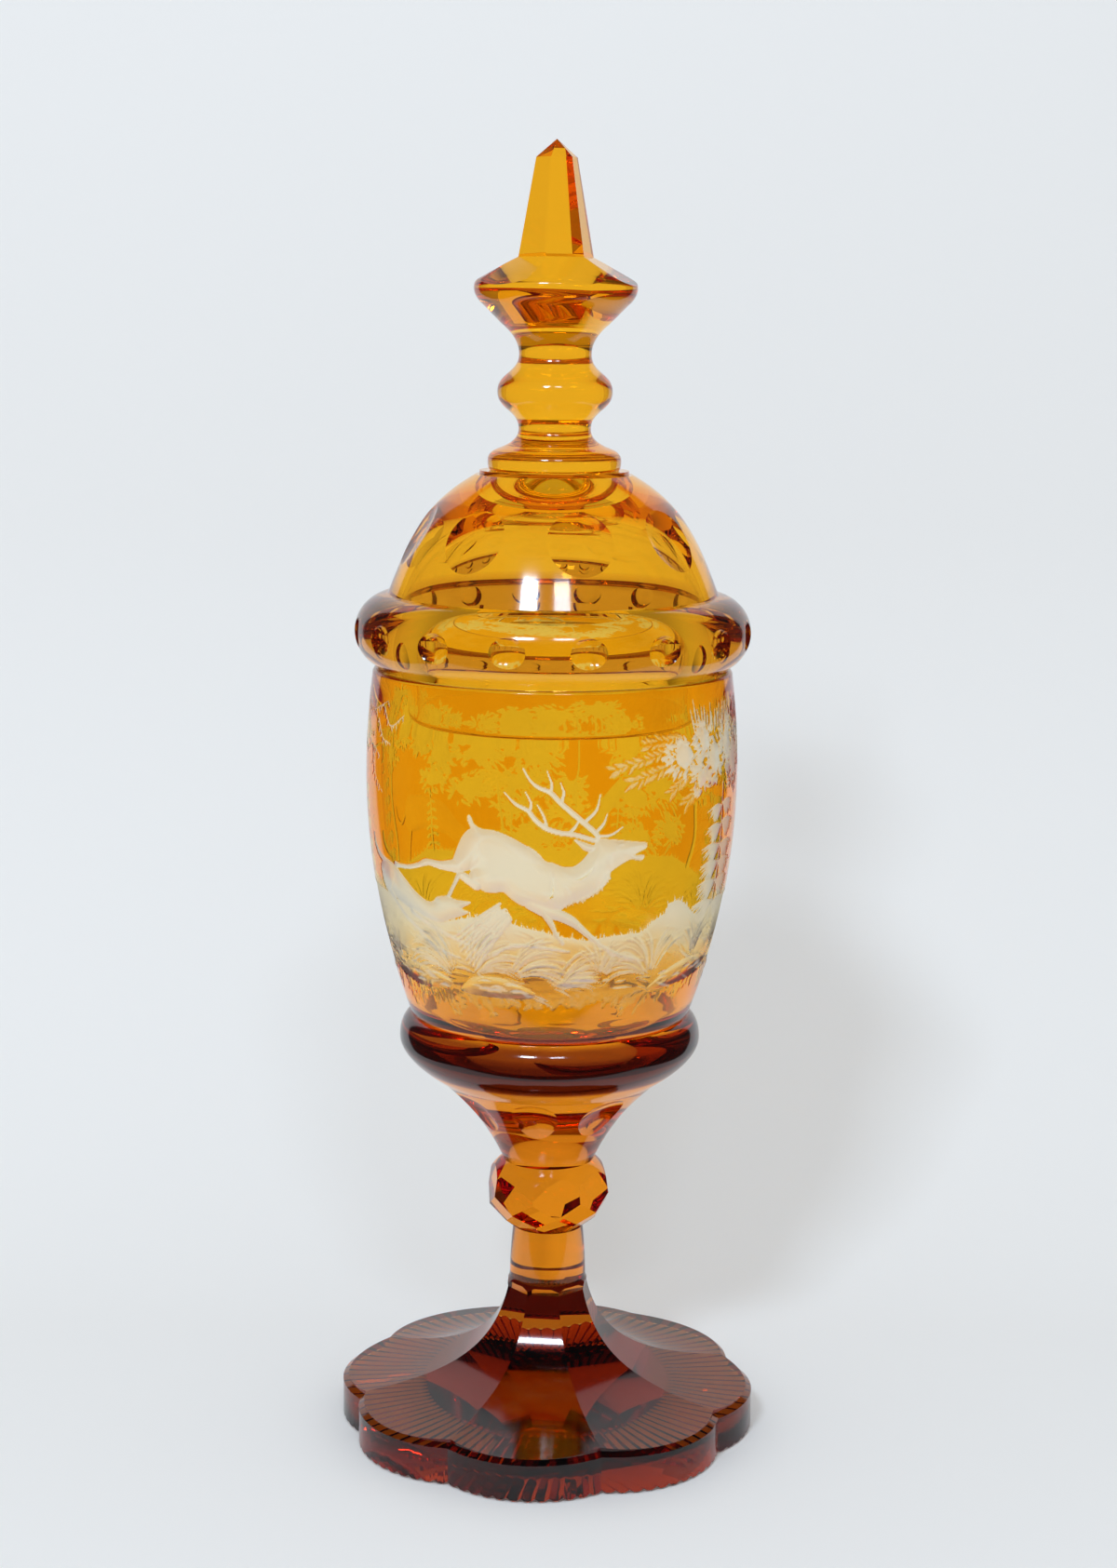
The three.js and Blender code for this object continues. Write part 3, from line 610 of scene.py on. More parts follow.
# The mounds' depth, how far in it is reached, and how matt they are
MOUND_HOLLOW = (1.2, 3.4, 0.45)
FURROWS = 9
FURROW = ((0, 0), (2.6, 0.5), (5.5, 0.1))
FURROW_CUT = ((0.2, 0.8, 0.2), -0.22, 0.9)
FURROW_INSET = ((3, 1.6), (7, 2.2))
BLADES_PER_TUFT = 1.5
TUFT_SPREAD = ((-0.8, -0.4), (0.8, 0.4))
BLADE_LENGTH = (0.86, 1.1)
BLADE_STRETCH = 1.5
BLADE_DROOP = 1.3
BLADE_WIDTH = 0.62
BLADE_TAPER = (0.4, 1, 0.9, 0.3)
BLADE_FOOT = 0.16
# Each further stretch of a blade: its share of the length, and of the droop
BLADE_STRETCHES = ((0.32, 0), (0.32, 0.9), (0.24, 2.0))
BLADE_SCATTER = 0.8
BLADE_DEPTH = 0.26
BLADE_MATT = 0.8
GROUND_TOP = (
    (-177.5, 40.6), (-164, 41.6), (-153, 42.6), (-141, 41), (-126, 43.6), (-115, 41.8), (-104, 41),
    (-93, 42.6), (-82.6, 42.5), (-71.5, 42.5), (-60.3, 41.8), (-50.6, 39.3), (-44.6, 37.3),
    (-36.4, 37.1), (-24.9, 40.1), (-19.8, 40), (-18.4, 40.9), (-15.2, 42.7), (-14.1, 42),
    (-13.4, 42.7), (-12.2, 42.1), (-12.1, 40.6), (-11.6, 39.1), (-7.8, 38), (-1.5, 36.9),
    (1.2, 35.8), (5.5, 35.2), (11.6, 34.1), (15.5, 34.7), (23.1, 35.3), (30.4, 35.4), (33.6, 38.3),
    (38.1, 40.2), (39.2, 43.1), (42.5, 43.8), (45, 43), (47.6, 41.4), (51, 38.8), (53.6, 37.4),
    (60.7, 39), (68.2, 41), (82.2, 39.7), (95, 38), (112, 39.8), (127, 41.8), (141, 40),
    (154, 39.4), (166, 40.8), (177.5, 40.6))
GROUND_FOOT = (
    (-177.5, 16), (-162, 15.4), (-150, 17.2), (-128, 15.6), (-110, 17.4), (-94, 15.5), (-81, 15.5),
    (-66.2, 16.6), (-50.9, 13.9), (-35, 16), (-23.4, 15.3), (-6.2, 14.7), (1.5, 14.9), (15.8, 15.8),
    (26.1, 15.4), (34.3, 16.3), (47.8, 15.6), (60.2, 16.9), (71.4, 18.8), (82, 17.2), (98, 15.6),
    (116, 17.2), (135, 15.5), (152, 17), (177.5, 16))
MOUNDS = (
    ((-68.7, 17.4), (-60.6, 21), (-52.9, 22.3), (-42.7, 21.5), (-35, 17.6), (-50, 14.6)),
    ((-31.5, 15.6), (-29.4, 19.6), (-25.2, 21.9), (-17, 22.2), (-10.6, 20.6), (-4.6, 17.4),
     (-8, 15.4)),
    ((35.6, 16), (39.4, 19.6), (44.4, 22.4), (54.2, 24.3), (64, 23.6), (71.9, 21.4), (62, 17.6),
     (46, 16)), ((0.2, 19.9), (6.6, 22.9), (14.1, 23.2), (17.6, 21.8), (9, 19)),
    ((84, 17.6), (93, 23.6), (106, 24), (113, 19.4), (98, 16)),
    ((124, 16.4), (131, 22), (143, 23.4), (153, 18.4), (138, 16)),
    ((-172, 17), (-163, 23.2), (-150, 23.4), (-141, 18.8), (-156, 16)),
    ((-133, 17), (-124, 22.6), (-110, 22.4), (-100, 17.8), (-118, 16)))
# Each tuft: where it springs, its blades' range in degrees from level, length and number
TUFTS = (
    ((-33, 19.6), (100, 162), 14.5, 17), ((-27, 21.6), (14, 96), 12.5, 17),
    ((-13.5, 21.8), (6, 62), 13, 15), ((-63, 20.6), (84, 160), 7.5, 12),
    ((2.4, 18.6), (12, 66), 10, 13), ((36, 20.6), (56, 166), 11.5, 20),
    ((17.3, 22.4), (36, 126), 8, 12), ((56, 24), (60, 120), 8.5, 11),
    ((100, 23), (40, 150), 11, 18), ((138, 22), (30, 140), 11, 18), ((-156, 22), (40, 150), 11, 18),
    ((-117, 21.6), (30, 150), 11, 18), ((76, 22.4), (40, 140), 9, 13),
    ((-80, 20.6), (40, 140), 9, 13))
STUMP = ((-13.9, 42.4), (-28.8, 28.2))
STUMP_SPLINTERS = 9
STUMP_SPREAD = (0.62, 1.25)
STUMP_LENGTH = 20
SPLINTER_SPACING = 1.15
SPLINTER_START = (-1.0, 0.6)
SPLINTER_END = (-1.5, 1.5)
SPLINTER_BEND = (-0.4, 0.4)
SPLINTER_CUT = ((0.9, 1.25, 0.4), 0.42)
ROOT_CUT = ((0.9, 1.1, 0.5), 0.35)
ROOTS = (
    ((-18.7, 28.7), (-13.1, 31.8), (-5.9, 32.4), (2.2, 31.3), (6.2, 30.8)),
    ((-5.9, 32.4), (-1.9, 34.5)), ((17.6, 31.6), (23.4, 28.6), (32.2, 26.2)),
    ((-47, 32), (-38, 28), (-31, 26.6)))
# Each spray of fingers under the ground: from where to where, how far down, and the fingers' lean
SPRAYS = (
    (-68, -45, 16.5, 9.0, -8), (-46, -32, 15.6, 10.0, 22), (-31, -17, 14.8, 7.5, 30),
    (-15, 8, 14.6, 2.6, 0), (10, 24, 15.4, 6.0, -62), (24, 46, 15.8, 9.5, -48),
    (47, 62, 16.5, 6.0, -10), (78, 98, 16.2, 8.0, 20), (104, 124, 16.4, 6.5, -20),
    (140, 164, 16.4, 8.0, 15), (-174, -154, 16.2, 7.0, -20), (-140, -116, 16.6, 9.0, 14),
    (-104, -84, 16.2, 6.5, -16))
FINGER_ROOT = 1.6
FINGER_LENGTH = (0.45, 1.15)
FINGER_SPREAD = 16
FINGER_BEND = (-0.5, 0.5)
FINGER_CUT = ((2.2, 2.0, 1.0), 0.14, 0.34)
KNUCKLES = (0.35, 0.6, 0.85)
KNUCKLE_LEAN = (30, 60)
KNUCKLE_LENGTH = (1.4, 2.8)
KNUCKLE_WIDTH = 1.5
KNUCKLE_DEPTH = 0.12
KNUCKLE_MATTS = (0.3, 0.45)
FINGER_SPACING = (1.2, 3.2)

# Trees
# Each crown of leaves: its middle, half width, half height, and how it faces, -1 left and 1 right
NEAR_LEAVES = (
    (42.5, 86.5, 6.6, 5.6, -1), (52.5, 90.5, 4.4, 5.4, -1), (58, 84.4, 5.2, 7.4, -1),
    (50.5, 79.4, 4.0, 4.4, -1), (66.5, 88, 4.6, 8.5, 1), (72.5, 82, 5.4, 9.0, 1),
    (80, 88, 5.0, 6.0, 1))
SPRIGS = (
    ((19, 84.6), (37, 88.8), 11), ((24, 80.6), (38, 84.6), 9), ((29, 91.4), (42, 92), 8),
    ((38, 77), (46, 82), 6), ((44, 73), (50, 78), 6), ((86, 78), (76, 82), 7),
    ((92, 86), (82, 88), 7))
FAR_LEAVES = (
    (-152, 73, 10, 5, -1), (-163, 76, 11, 5, 1), (-172, 70, 9, 5, -1), (177, 77, 11, 5, 1),
    (-147, 61, 9, 5, -1), (-158, 63, 9, 4.6, 1), (-167, 62, 8, 4.6, -1), (174, 60, 9, 4.4, 1),
    (-135, 74, 8, 6, -1), (-126, 80, 9, 5.4, 1), (-131, 66, 7, 4.4, -1), (150, 74, 9, 6, 1),
    (160, 80, 10, 5, -1), (146, 58, 9, 5, 1), (134, 62, 8, 5, -1), (129, 50, 7, 5, 1),
    (171, 52, 9, 4.6, -1), (-164, 54, 8, 4, 1), (-171, 44, 12, 4.4, 1), (144, 45, 11, 5, 1),
    (120, 76, 9, 6, 1), (112, 66, 8, 5, -1), (106, 84, 9, 5, 1), (-112, 84, 8, 5, -1),
    (-100, 78, 8, 5, 1), (-92, 88, 8, 5, -1), (-104, 92, 10, 4, 1))
FAR_TRUNKS = (
    ((144, 70), (153.2, 60.7), (158.5, 54.1), (164.8, 45.3), (169, 39)),
    ((-157.6, 64.2), (-158.5, 55.8), (-159.9, 45.3), (-160, 40)),
    ((-164.6, 60.8), (-163.1, 53.5), (-162.7, 45.2), (-163, 40)),
    ((168.2, 78), (168.2, 66.1), (169.6, 59.8), (168.3, 51.4)),
    ((113, 80), (115, 62), (113, 50), (116, 40)), ((-101, 84), (-99, 66), (-102, 50), (-99, 41)))
FAR_TRUNK_WIDTHS = (5.0, 1.0, 0.9, 0.7, 2.4, 2.0)
TWIGS = (
    ((-84, 101), (-77, 97), (-70, 96.4), (-60, 100)),
    ((-86, 88), (-78, 84), (-71, 86), (-64, 83.4)), ((-70, 86), (-68, 78), (-62, 73)),
    ((-62, 98), (-57, 93), (-50, 97)), ((-78, 96), (-74, 90), (-69, 90.4)),
    ((-66, 94), (-62, 89), (-57, 88)))
# Each conifer: its trunk, its top, its foot, its reach, and 1 where it is near or less where far
CONIFERS = (
    (63.4, 73.5, 34.5, 14.5, 1.0), (-147.5, 44, 34, 4.0, 0.35), (153, 62, 36, 5.0, 0.35),
    (147, 56, 36, 4.0, 0.35), (96, 70, 36, 10, 1.0), (-90, 74, 38, 9, 0.9), (-129, 60, 40, 5, 0.5))
# The drop from tier to tier, the topmost boughs' share of the reach, and the boughs' leans: from,
# to, and how many
NEAR_CONIFER = (6.2, 0.55, (4, -52, 13))
FAR_CONIFER = (3.0, 0.35, (-8, -24, 3))
BOUGH_LENGTH = (0.82, 1.1)
CROWN_CORE = (0.62, 0.66)
CROWN_RAGGED = (0.75, 1.1)
CROWN_RISE = 2.0
CROWN_CORNERS = 14
CROWN_LEAVES = 14
CROWN_OUT = (0.45, 0.95)
LEAVES_PER_AREA = 1.25
LEAF_LENGTH = (1.6, 3.4)
LEAF_WIDTH = (0.7, 1.15)
LEAF_TAPER = (0.45, 1, 0.3)
LEAF_LEAN = 98
LEAF_SCATTER = 24
LEAF_FAN = 40
LEAF_DEPTHS = (0.4, 0.9)
LEAF_MATTS = (0.85, 1.25)
NEAR_DEPTH = 0.6
NEAR_MATT = 0.95
FAR_DEPTH = 0.3
FAR_MATT = (0.55, 0.9)
CANOPY_SPAN = (48, 82)
CANOPY_HEIGHT = 93
CANOPY_RAGGED = (-1.4, 1.4)
CANOPY_SCATTER = 7
CANOPY_LENGTH = (5, 9.5)
CANOPY_CUT = (0.75, 0.3, 0.85)
SPRIG_ASIDE = (-0.4, 0.4)
SPRIG_APART = (0.1, 0.5)
SPRIG_LEAN = (20, 42)
SPRIG_LENGTH = (2.2, 3.4)
SPRIG_CUT = (0.9, 0.22, 0.42)
TWIG_CUT = ((0.5, 0.35, 0.2), 0.2)
TWIG_LEAF_LEAN = (200, 340)
TWIG_LEAF_LENGTH = (1.0, 2.4)
TWIG_LEAF_CUT = (0.5, 0.2, 0.9)
FAR_TRUNK_CUT = (0.4, 0.85)
CONIFER_TRUNK = ((0.4, 0.8), 0.4)


def smooth_curve(points, closed=False, steps=5):
    """Points along a curve that passes through each given point."""
    points = np.array(points, float)
    if closed:
        around = np.vstack([points[-1:], points, points[:2]])
    else:
        around = np.vstack([2 * points[0] - points[1], points, 2 * points[-1] - points[-2]])
    t = np.arange(steps)[None, :, None] / steps
    a, b, c, d = (around[i:len(around) - 3 + i][:, None] for i in range(4))
    curve = 0.5 * (2 * b + (c - a) * t + (2 * a - 5 * b + 4 * c - d) * t ** 2
                   + (3 * b - a - 3 * c + d) * t ** 3)
    curve = curve.reshape(-1, points.shape[1])
    return curve if closed else np.vstack([curve, points[-1:]])


matt_plate = np.zeros((PLATE_ROWS, PLATE_COLUMNS))
depth_plate = np.zeros((PLATE_ROWS, PLATE_COLUMNS))


def patch(low, high):
    """The part of the plates inside a box: its index, and its places across and up."""
    columns = np.arange(math.floor(low[0] / GRAIN), math.ceil(high[0] / GRAIN) + 1)
    first = max(0, math.floor(low[1] / GRAIN))
    last = min(PLATE_ROWS - 1, math.ceil(high[1] / GRAIN))
    rows = np.arange(first, max(first, last) + 1)
    return np.ix_(rows, columns % PLATE_COLUMNS), columns * GRAIN, rows[:, None] * GRAIN


def to_path(path, across, up):
    """Distance from each place of a patch to each stretch of a path, and how far along it is
    nearest."""
    start_x, start_y = path[:-1, :2].T[:, :, None, None]
    run_x, run_y = np.diff(path[:, :2], axis=0).T[:, :, None, None]
    square = np.maximum(run_x ** 2 + run_y ** 2, 1e-9)
    x = across[None, None, :] - start_x
    y = up[None, :, :] - start_y
    share = np.clip((x * run_x + y * run_y) / square, 0, 1)
    return np.hypot(x - share * run_x, y - share * run_y), share


def rounded(share):
    """From 0 at the edge of a cut to 1 on its floor."""
    share = np.clip(share, 0, 1)
    return share * (2 - share)


def covering(inside):
    """How much of a grain lies inside an edge, from its distance to the edge."""
    return np.clip(inside / GRAIN + 0.5, 0, 1)


def between(table, value):
    """What a table of pairs gives at a value, in a straight line from pair to pair."""
    return np.interp(value, *np.array(table, float).T)


def stroke(points, widths, depth, matt=1.0, on_top=False):
    """One pass of a round wheel along a curve, as wide as told at each point."""
    points = np.array(points, float)
    widths = np.interp(np.linspace(0, 1, len(points)), np.linspace(0, 1, len(widths)), widths)
    path = smooth_curve(np.column_stack([points, widths]))
    wide = widths.max() / 2 + GRAIN
    place, across, up = patch(path[:, :2].min(0) - wide, path[:, :2].max(0) + wide)
    distance, share = to_path(path, across, up)
    start, end = path[:-1, 2, None, None], path[1:, 2, None, None]
    inside = ((start * (1 - share) + end * share) / 2 - distance).max(0)
    covered = covering(inside)
    hollow = depth * (rounded(inside / (0.5 * widths.max())) * covered)
    matt_plate[place] = np.maximum(matt_plate[place], covered * matt)
    if on_top:
        depth_plate[place] += hollow
    else:
        depth_plate[place] = np.maximum(depth_plate[place], hollow)


def fill(points, depth, rise, matt=1.0):
    """A shape hollowed to a depth, which it reaches at a distance from its outline."""
    path = smooth_curve(points, closed=True)
    path = np.vstack([path, path[:1]])
    place, across, up = patch(path.min(0) - GRAIN, path.max(0) + GRAIN)
    distance = to_path(path, across, up)[0].min(0)
    inside = np.zeros(distance.shape, bool)
    for (x0, y0), (x1, y1) in zip(path[:-1], path[1:]):
        if y0 != y1:
            reach = x0 + (up - y0) / (y1 - y0) * (x1 - x0)
            inside ^= ((y0 > up) != (y1 > up)) & (across[None, :] < reach)
    covered = covering(np.where(inside, distance, -distance))
    hollow = rounded(distance / rise) * inside
    matt_plate[place] = np.maximum(matt_plate[place], covered * matt)
    depth_plate[place] = np.maximum(depth_plate[place], depth * hollow)


def direction(degrees):
    return np.array([math.cos(math.radians(degrees)), math.sin(math.radians(degrees))])


def blade(root, lean, length):
    """A blade of grass that leaves its root at one lean and droops outward."""
    droop = math.copysign(length * BLADE_DROOP, lean - 90)
    path = [root + direction(lean) * length * BLADE_FOOT]
    for share, turn in BLADE_STRETCHES:
        path.append(path[-1] + direction(lean + turn * droop) * length * share)
    widths = [BLADE_WIDTH * share for share in BLADE_TAPER]
    stroke(path, widths, BLADE_DEPTH, BLADE_MATT, on_top=True)


def engrave_ground():
    """The woodland floor all round: a matt band with a ragged upper edge. The stain shows through
    its thinner lower part."""
    across = np.arange(PLATE_COLUMNS) * GRAIN
    signed = (across + HALF_WAY) % (2 * HALF_WAY) - HALF_WAY
    up = np.arange(PLATE_ROWS)[:, None] * GRAIN
    inside = np.minimum(up - between(GROUND_FOOT, signed), between(GROUND_TOP, signed) - up)
    tone = between(GROUND_TONE, up) + GROUND_DAPPLE * np.sin(signed * 0.21 + 0.3 * up)
    np.maximum(matt_plate, covering(inside) * tone, out=matt_plate)
    np.maximum(depth_plate, GROUND_DEPTH * rounded(inside / GROUND_RISE), out=depth_plate)
    for _ in range(GROUND_STROKES):
        place = dice.uniform(-HALF_WAY, HALF_WAY)
        height = dice.uniform(between(GROUND_FOOT, place) + 1, between(GROUND_TOP, place) - 1)
        slope = dice.normal(*GROUND_LEAN) + GROUND_WAVE * math.sin(place / 11)
        length = dice.uniform(*GROUND_LENGTH)
        bend = dice.uniform(*GROUND_BEND)
        start = np.array([place, height])
        middle = start + direction(slope) * length / 2 + direction(slope + 90) * bend
        stroke([start, middle, start + direction(slope) * length], GROUND_WIDTHS,
               dice.uniform(*GROUND_DEPTHS), dice.uniform(*GROUND_MATTS), on_top=True)
    for place in np.arange(-HALF_WAY, HALF_WAY, FRINGE_SPACING):
        root = np.array([place, between(GROUND_TOP, place) - FRINGE_SINK])
        tip = root + direction(dice.normal(*FRINGE_LEAN)) * dice.uniform(*FRINGE_LENGTH)
        stroke([root, tip], *FRINGE_CUT)


def engrave_undergrowth():
    """Mounds with furrows on them, tufts of grass, roots and a splintered stump."""
    for mound in MOUNDS:
        fill(mound, *MOUND_HOLLOW)
        low, high = np.min(mound, axis=0), np.max(mound, axis=0)
        for _ in range(FURROWS):
            start = dice.uniform(low + FURROW_INSET[0], high - FURROW_INSET[1])
            stroke(start + np.array(FURROW), *FURROW_CUT, on_top=True)
    for root, (first, last), length, count in TUFTS:
        for lean in np.linspace(first, last, round(count * BLADES_PER_TUFT)):
            start = np.array(root) + dice.uniform(*TUFT_SPREAD)
            lean += dice.normal(0, BLADE_SCATTER)
            blade(start, lean, BLADE_STRETCH * length * dice.uniform(*BLADE_LENGTH))
    for root in ROOTS:
        stroke(root, *ROOT_CUT, on_top=True)
    top, foot = np.array(STUMP)
    along = foot - top
    beside = np.array([along[1], -along[0]]) / np.linalg.norm(along)
    for i in range(STUMP_SPLINTERS):
        shift = beside * (i - (STUMP_SPLINTERS - 1) / 2) * SPLINTER_SPACING
        start = top + shift * STUMP_SPREAD[0] + dice.uniform(*SPLINTER_START) * along / STUMP_LENGTH
        end = foot + shift * STUMP_SPREAD[1] + dice.uniform(*SPLINTER_END) * along / STUMP_LENGTH
        middle = (start + end) / 2 + beside * dice.uniform(*SPLINTER_BEND)
        stroke([start, middle, end], *SPLINTER_CUT, on_top=True)


def leaf(root, lean, length, width, depth, matt):
    tip = np.array(root) + direction(lean) * length
    widths = [width * share for share in LEAF_TAPER]
    stroke([root, (root + tip) / 2, tip], widths, depth, matt)


def crown(centre, half_wide, half_high, facing, depth, matt):
    """A mass of foliage: a ragged matt middle, and leaves that hang outward round it."""
    wide, high = half_wide * CROWN_CORE[0], half_high * CROWN_CORE[1]
    corners = [(centre[0] + wide * math.cos(a) * dice.uniform(*CROWN_RAGGED),
                centre[1] + high * math.sin(a) * dice.uniform(*CROWN_RAGGED))
               for a in np.linspace(0, 2 * math.pi, CROWN_CORNERS, endpoint=False)]
    fill(corners, depth, CROWN_RISE, matt)
    for _ in range(round(half_wide * half_high * LEAVES_PER_AREA) + CROWN_LEAVES):
        angle = dice.uniform(0, 2 * math.pi)
        out = dice.uniform(*CROWN_OUT)
        way = np.array([math.cos(angle) * half_wide, math.sin(angle) * half_high])
        side = math.copysign(1, math.cos(angle) + 0.5 * facing)
        turn = LEAF_LEAN + dice.normal(0, LEAF_SCATTER) - LEAF_FAN * math.sin(angle)
        lean = 90 - side * turn
        leaf(centre + way * out, lean, dice.uniform(*LEAF_LENGTH), dice.uniform(*LEAF_WIDTH),
             depth * dice.uniform(*LEAF_DEPTHS), min(1, matt * dice.uniform(*LEAF_MATTS)))


def engrave_leaves():
    for x, y, half_wide, half_high, facing in NEAR_LEAVES:
        crown(np.array([x, y]), half_wide, half_high, facing, NEAR_DEPTH, NEAR_MATT)
    for start, end, count in SPRIGS:
        start, end = np.array(start, float), np.array(end, float)
        along = math.degrees(math.atan2(*(end - start)[::-1]))
        for share in np.linspace(0, 1, count):
            for drop in (1, -1):
                at = start + (end - start) * share
                at = at + (dice.uniform(*SPRIG_ASIDE), drop * dice.uniform(*SPRIG_APART))
                leaf(at, along + 180 - drop * dice.uniform(*SPRIG_LEAN),
                     dice.uniform(*SPRIG_LENGTH), *SPRIG_CUT)
    for x in np.arange(*CANOPY_SPAN):
        root = np.array([x, CANOPY_HEIGHT + dice.uniform(*CANOPY_RAGGED)])
        lean = 90 + dice.normal(0, CANOPY_SCATTER)
        leaf(root, lean, dice.uniform(*CANOPY_LENGTH), *CANOPY_CUT)
    for x, y, half_wide, half_high, facing in FAR_LEAVES:
        crown(np.array([x, y]), half_wide, half_high, facing, FAR_DEPTH, dice.uniform(*FAR_MATT))
    for points, width in zip(FAR_TRUNKS, FAR_TRUNK_WIDTHS):
        stroke(points, (width * 0.8, width, width), *FAR_TRUNK_CUT)
    for points in TWIGS:
        stroke(points, *TWIG_CUT)
        for place in smooth_curve(points, steps=9)[1::2]:
            leaf(place, dice.uniform(*TWIG_LEAF_LEAN), dice.uniform(*TWIG_LEAF_LENGTH),
                 *TWIG_LEAF_CUT)


def engrave_conifers():
    """Thin trunks whose boughs droop as serrated wings, each a fan of fine strokes."""
    for trunk, top, foot, reach, weight in CONIFERS:
        tier_drop, narrowest, leans = NEAR_CONIFER if weight > 0.8 else FAR_CONIFER
        stroke([(trunk, top + 3), (trunk + 0.3, foot)], *CONIFER_TRUNK)
        tiers = max(4, round((top - foot) / tier_drop))
        for tier in range(tiers):
            share = (tier + 0.6) / tiers
            height = top - (top - foot) * share * 0.92
            span = reach * (narrowest + 0.45 * share)
            for side in (-1, 1):
                root = np.array([trunk + side * 0.4, height + dice.uniform(-0.6, 0.6)])
                for lean in np.linspace(*leans):
                    long = span * (1.0 - 0.5 * abs(lean) / 62) * dice.uniform(*BOUGH_LENGTH)
                    tip = root + direction(lean) * long * (side, 1) - (0, 0.08 * long)
                    bend = (root + tip) / 2 + (0, 0.07 * long)
                    stroke([root, bend, tip], (0.5 * weight + 0.2, 0.7 * weight + 0.2, 0.25), 0.35,
                           0.95)


def engrave_sprays():
    """Fern-like fingers that hang in clumps under the woodland floor."""
    for first, last, height, drop, lean in SPRAYS:
        x = first
        while x < last:
            share = (x - first) / (last - first)
            long = drop * (0.4 + 0.6 * math.sin(math.pi * min(1, share + 0.15)))
            long = long * dice.uniform(*FINGER_LENGTH)
            way = direction(-90 + lean + dice.normal(0, FINGER_SPREAD))
            start = np.array([x, height + FINGER_ROOT])
            end = start + way * (long + FINGER_ROOT)
            middle = (start + end) / 2 + (dice.uniform(*FINGER_BEND), 0)
            stroke([start, middle, end], *FINGER_CUT)
            for back in KNUCKLES:
                knuckle = start + (end - start) * back
                aside = dice.choice((-1, 1)) * dice.uniform(*KNUCKLE_LEAN)
                leaf(knuckle, -90 + lean * 1.3 + aside, dice.uniform(*KNUCKLE_LENGTH),
                     KNUCKLE_WIDTH, KNUCKLE_DEPTH, dice.uniform(*KNUCKLE_MATTS))
            x += dice.uniform(*FINGER_SPACING)


def engrave_animals():
    for points, widths in zip(STAG_LEGS, STAG_LEG_WIDTHS):
        stroke(points, widths, STAG_LEG_DEPTH)
    for points, depth, rise, matt in ANIMAL_SHAPES:
        fill(points, depth, rise, matt)
    for curves, widths, depth, matt, on_top in ANIMAL_LINES:
        for points in curves:
            stroke(points, widths, depth, matt, on_top)
    for place in smooth_curve(STAG_MANE, steps=9):
        lean = dice.uniform(*MANE_LEAN)
        tip = place + direction(lean) * dice.uniform(*MANE_LENGTH)
        stroke([place + (0, MANE_ROOT), place, tip], *MANE_CUT)
    for _ in range(STAG_HAIRS):
        at = dice.uniform(*STAG_HAIR_BOX)
        tip = at + direction(dice.normal(*HAIR_LEAN)) * dice.uniform(*HAIR_LENGTH)
        stroke([at, tip], *HAIR_CUT, matt=0, on_top=True)


def engrave():
    engrave_ground()
    engrave_undergrowth()
    engrave_leaves()
    engrave_conifers()
    engrave_sprays()
    engrave_animals()


def plate_at(plate, places):
    """A plate's value where points lie on the bowl, mean of the four grains round each."""
    across = np.arctan2(places[:, 0], -places[:, 1]) * BOWL_RADIUS / GRAIN
    up = (places[:, 2] - BOWL_BASE) / GRAIN
    column, row = np.floor(across).astype(int), np.floor(up).astype(int)
    total = np.zeros(len(places))
    for i, j in ((0, 0), (1, 0), (0, 1), (1, 1)):
        weight = np.abs(1 - i - (up - row)) * np.abs(1 - j - (across - column))
        inside = (row + i >= 0) & (row + i < PLATE_ROWS)
        near = np.clip(row + i, 0, PLATE_ROWS - 1), (column + j) % PLATE_COLUMNS
        total += weight * inside * plate[near]
    return total


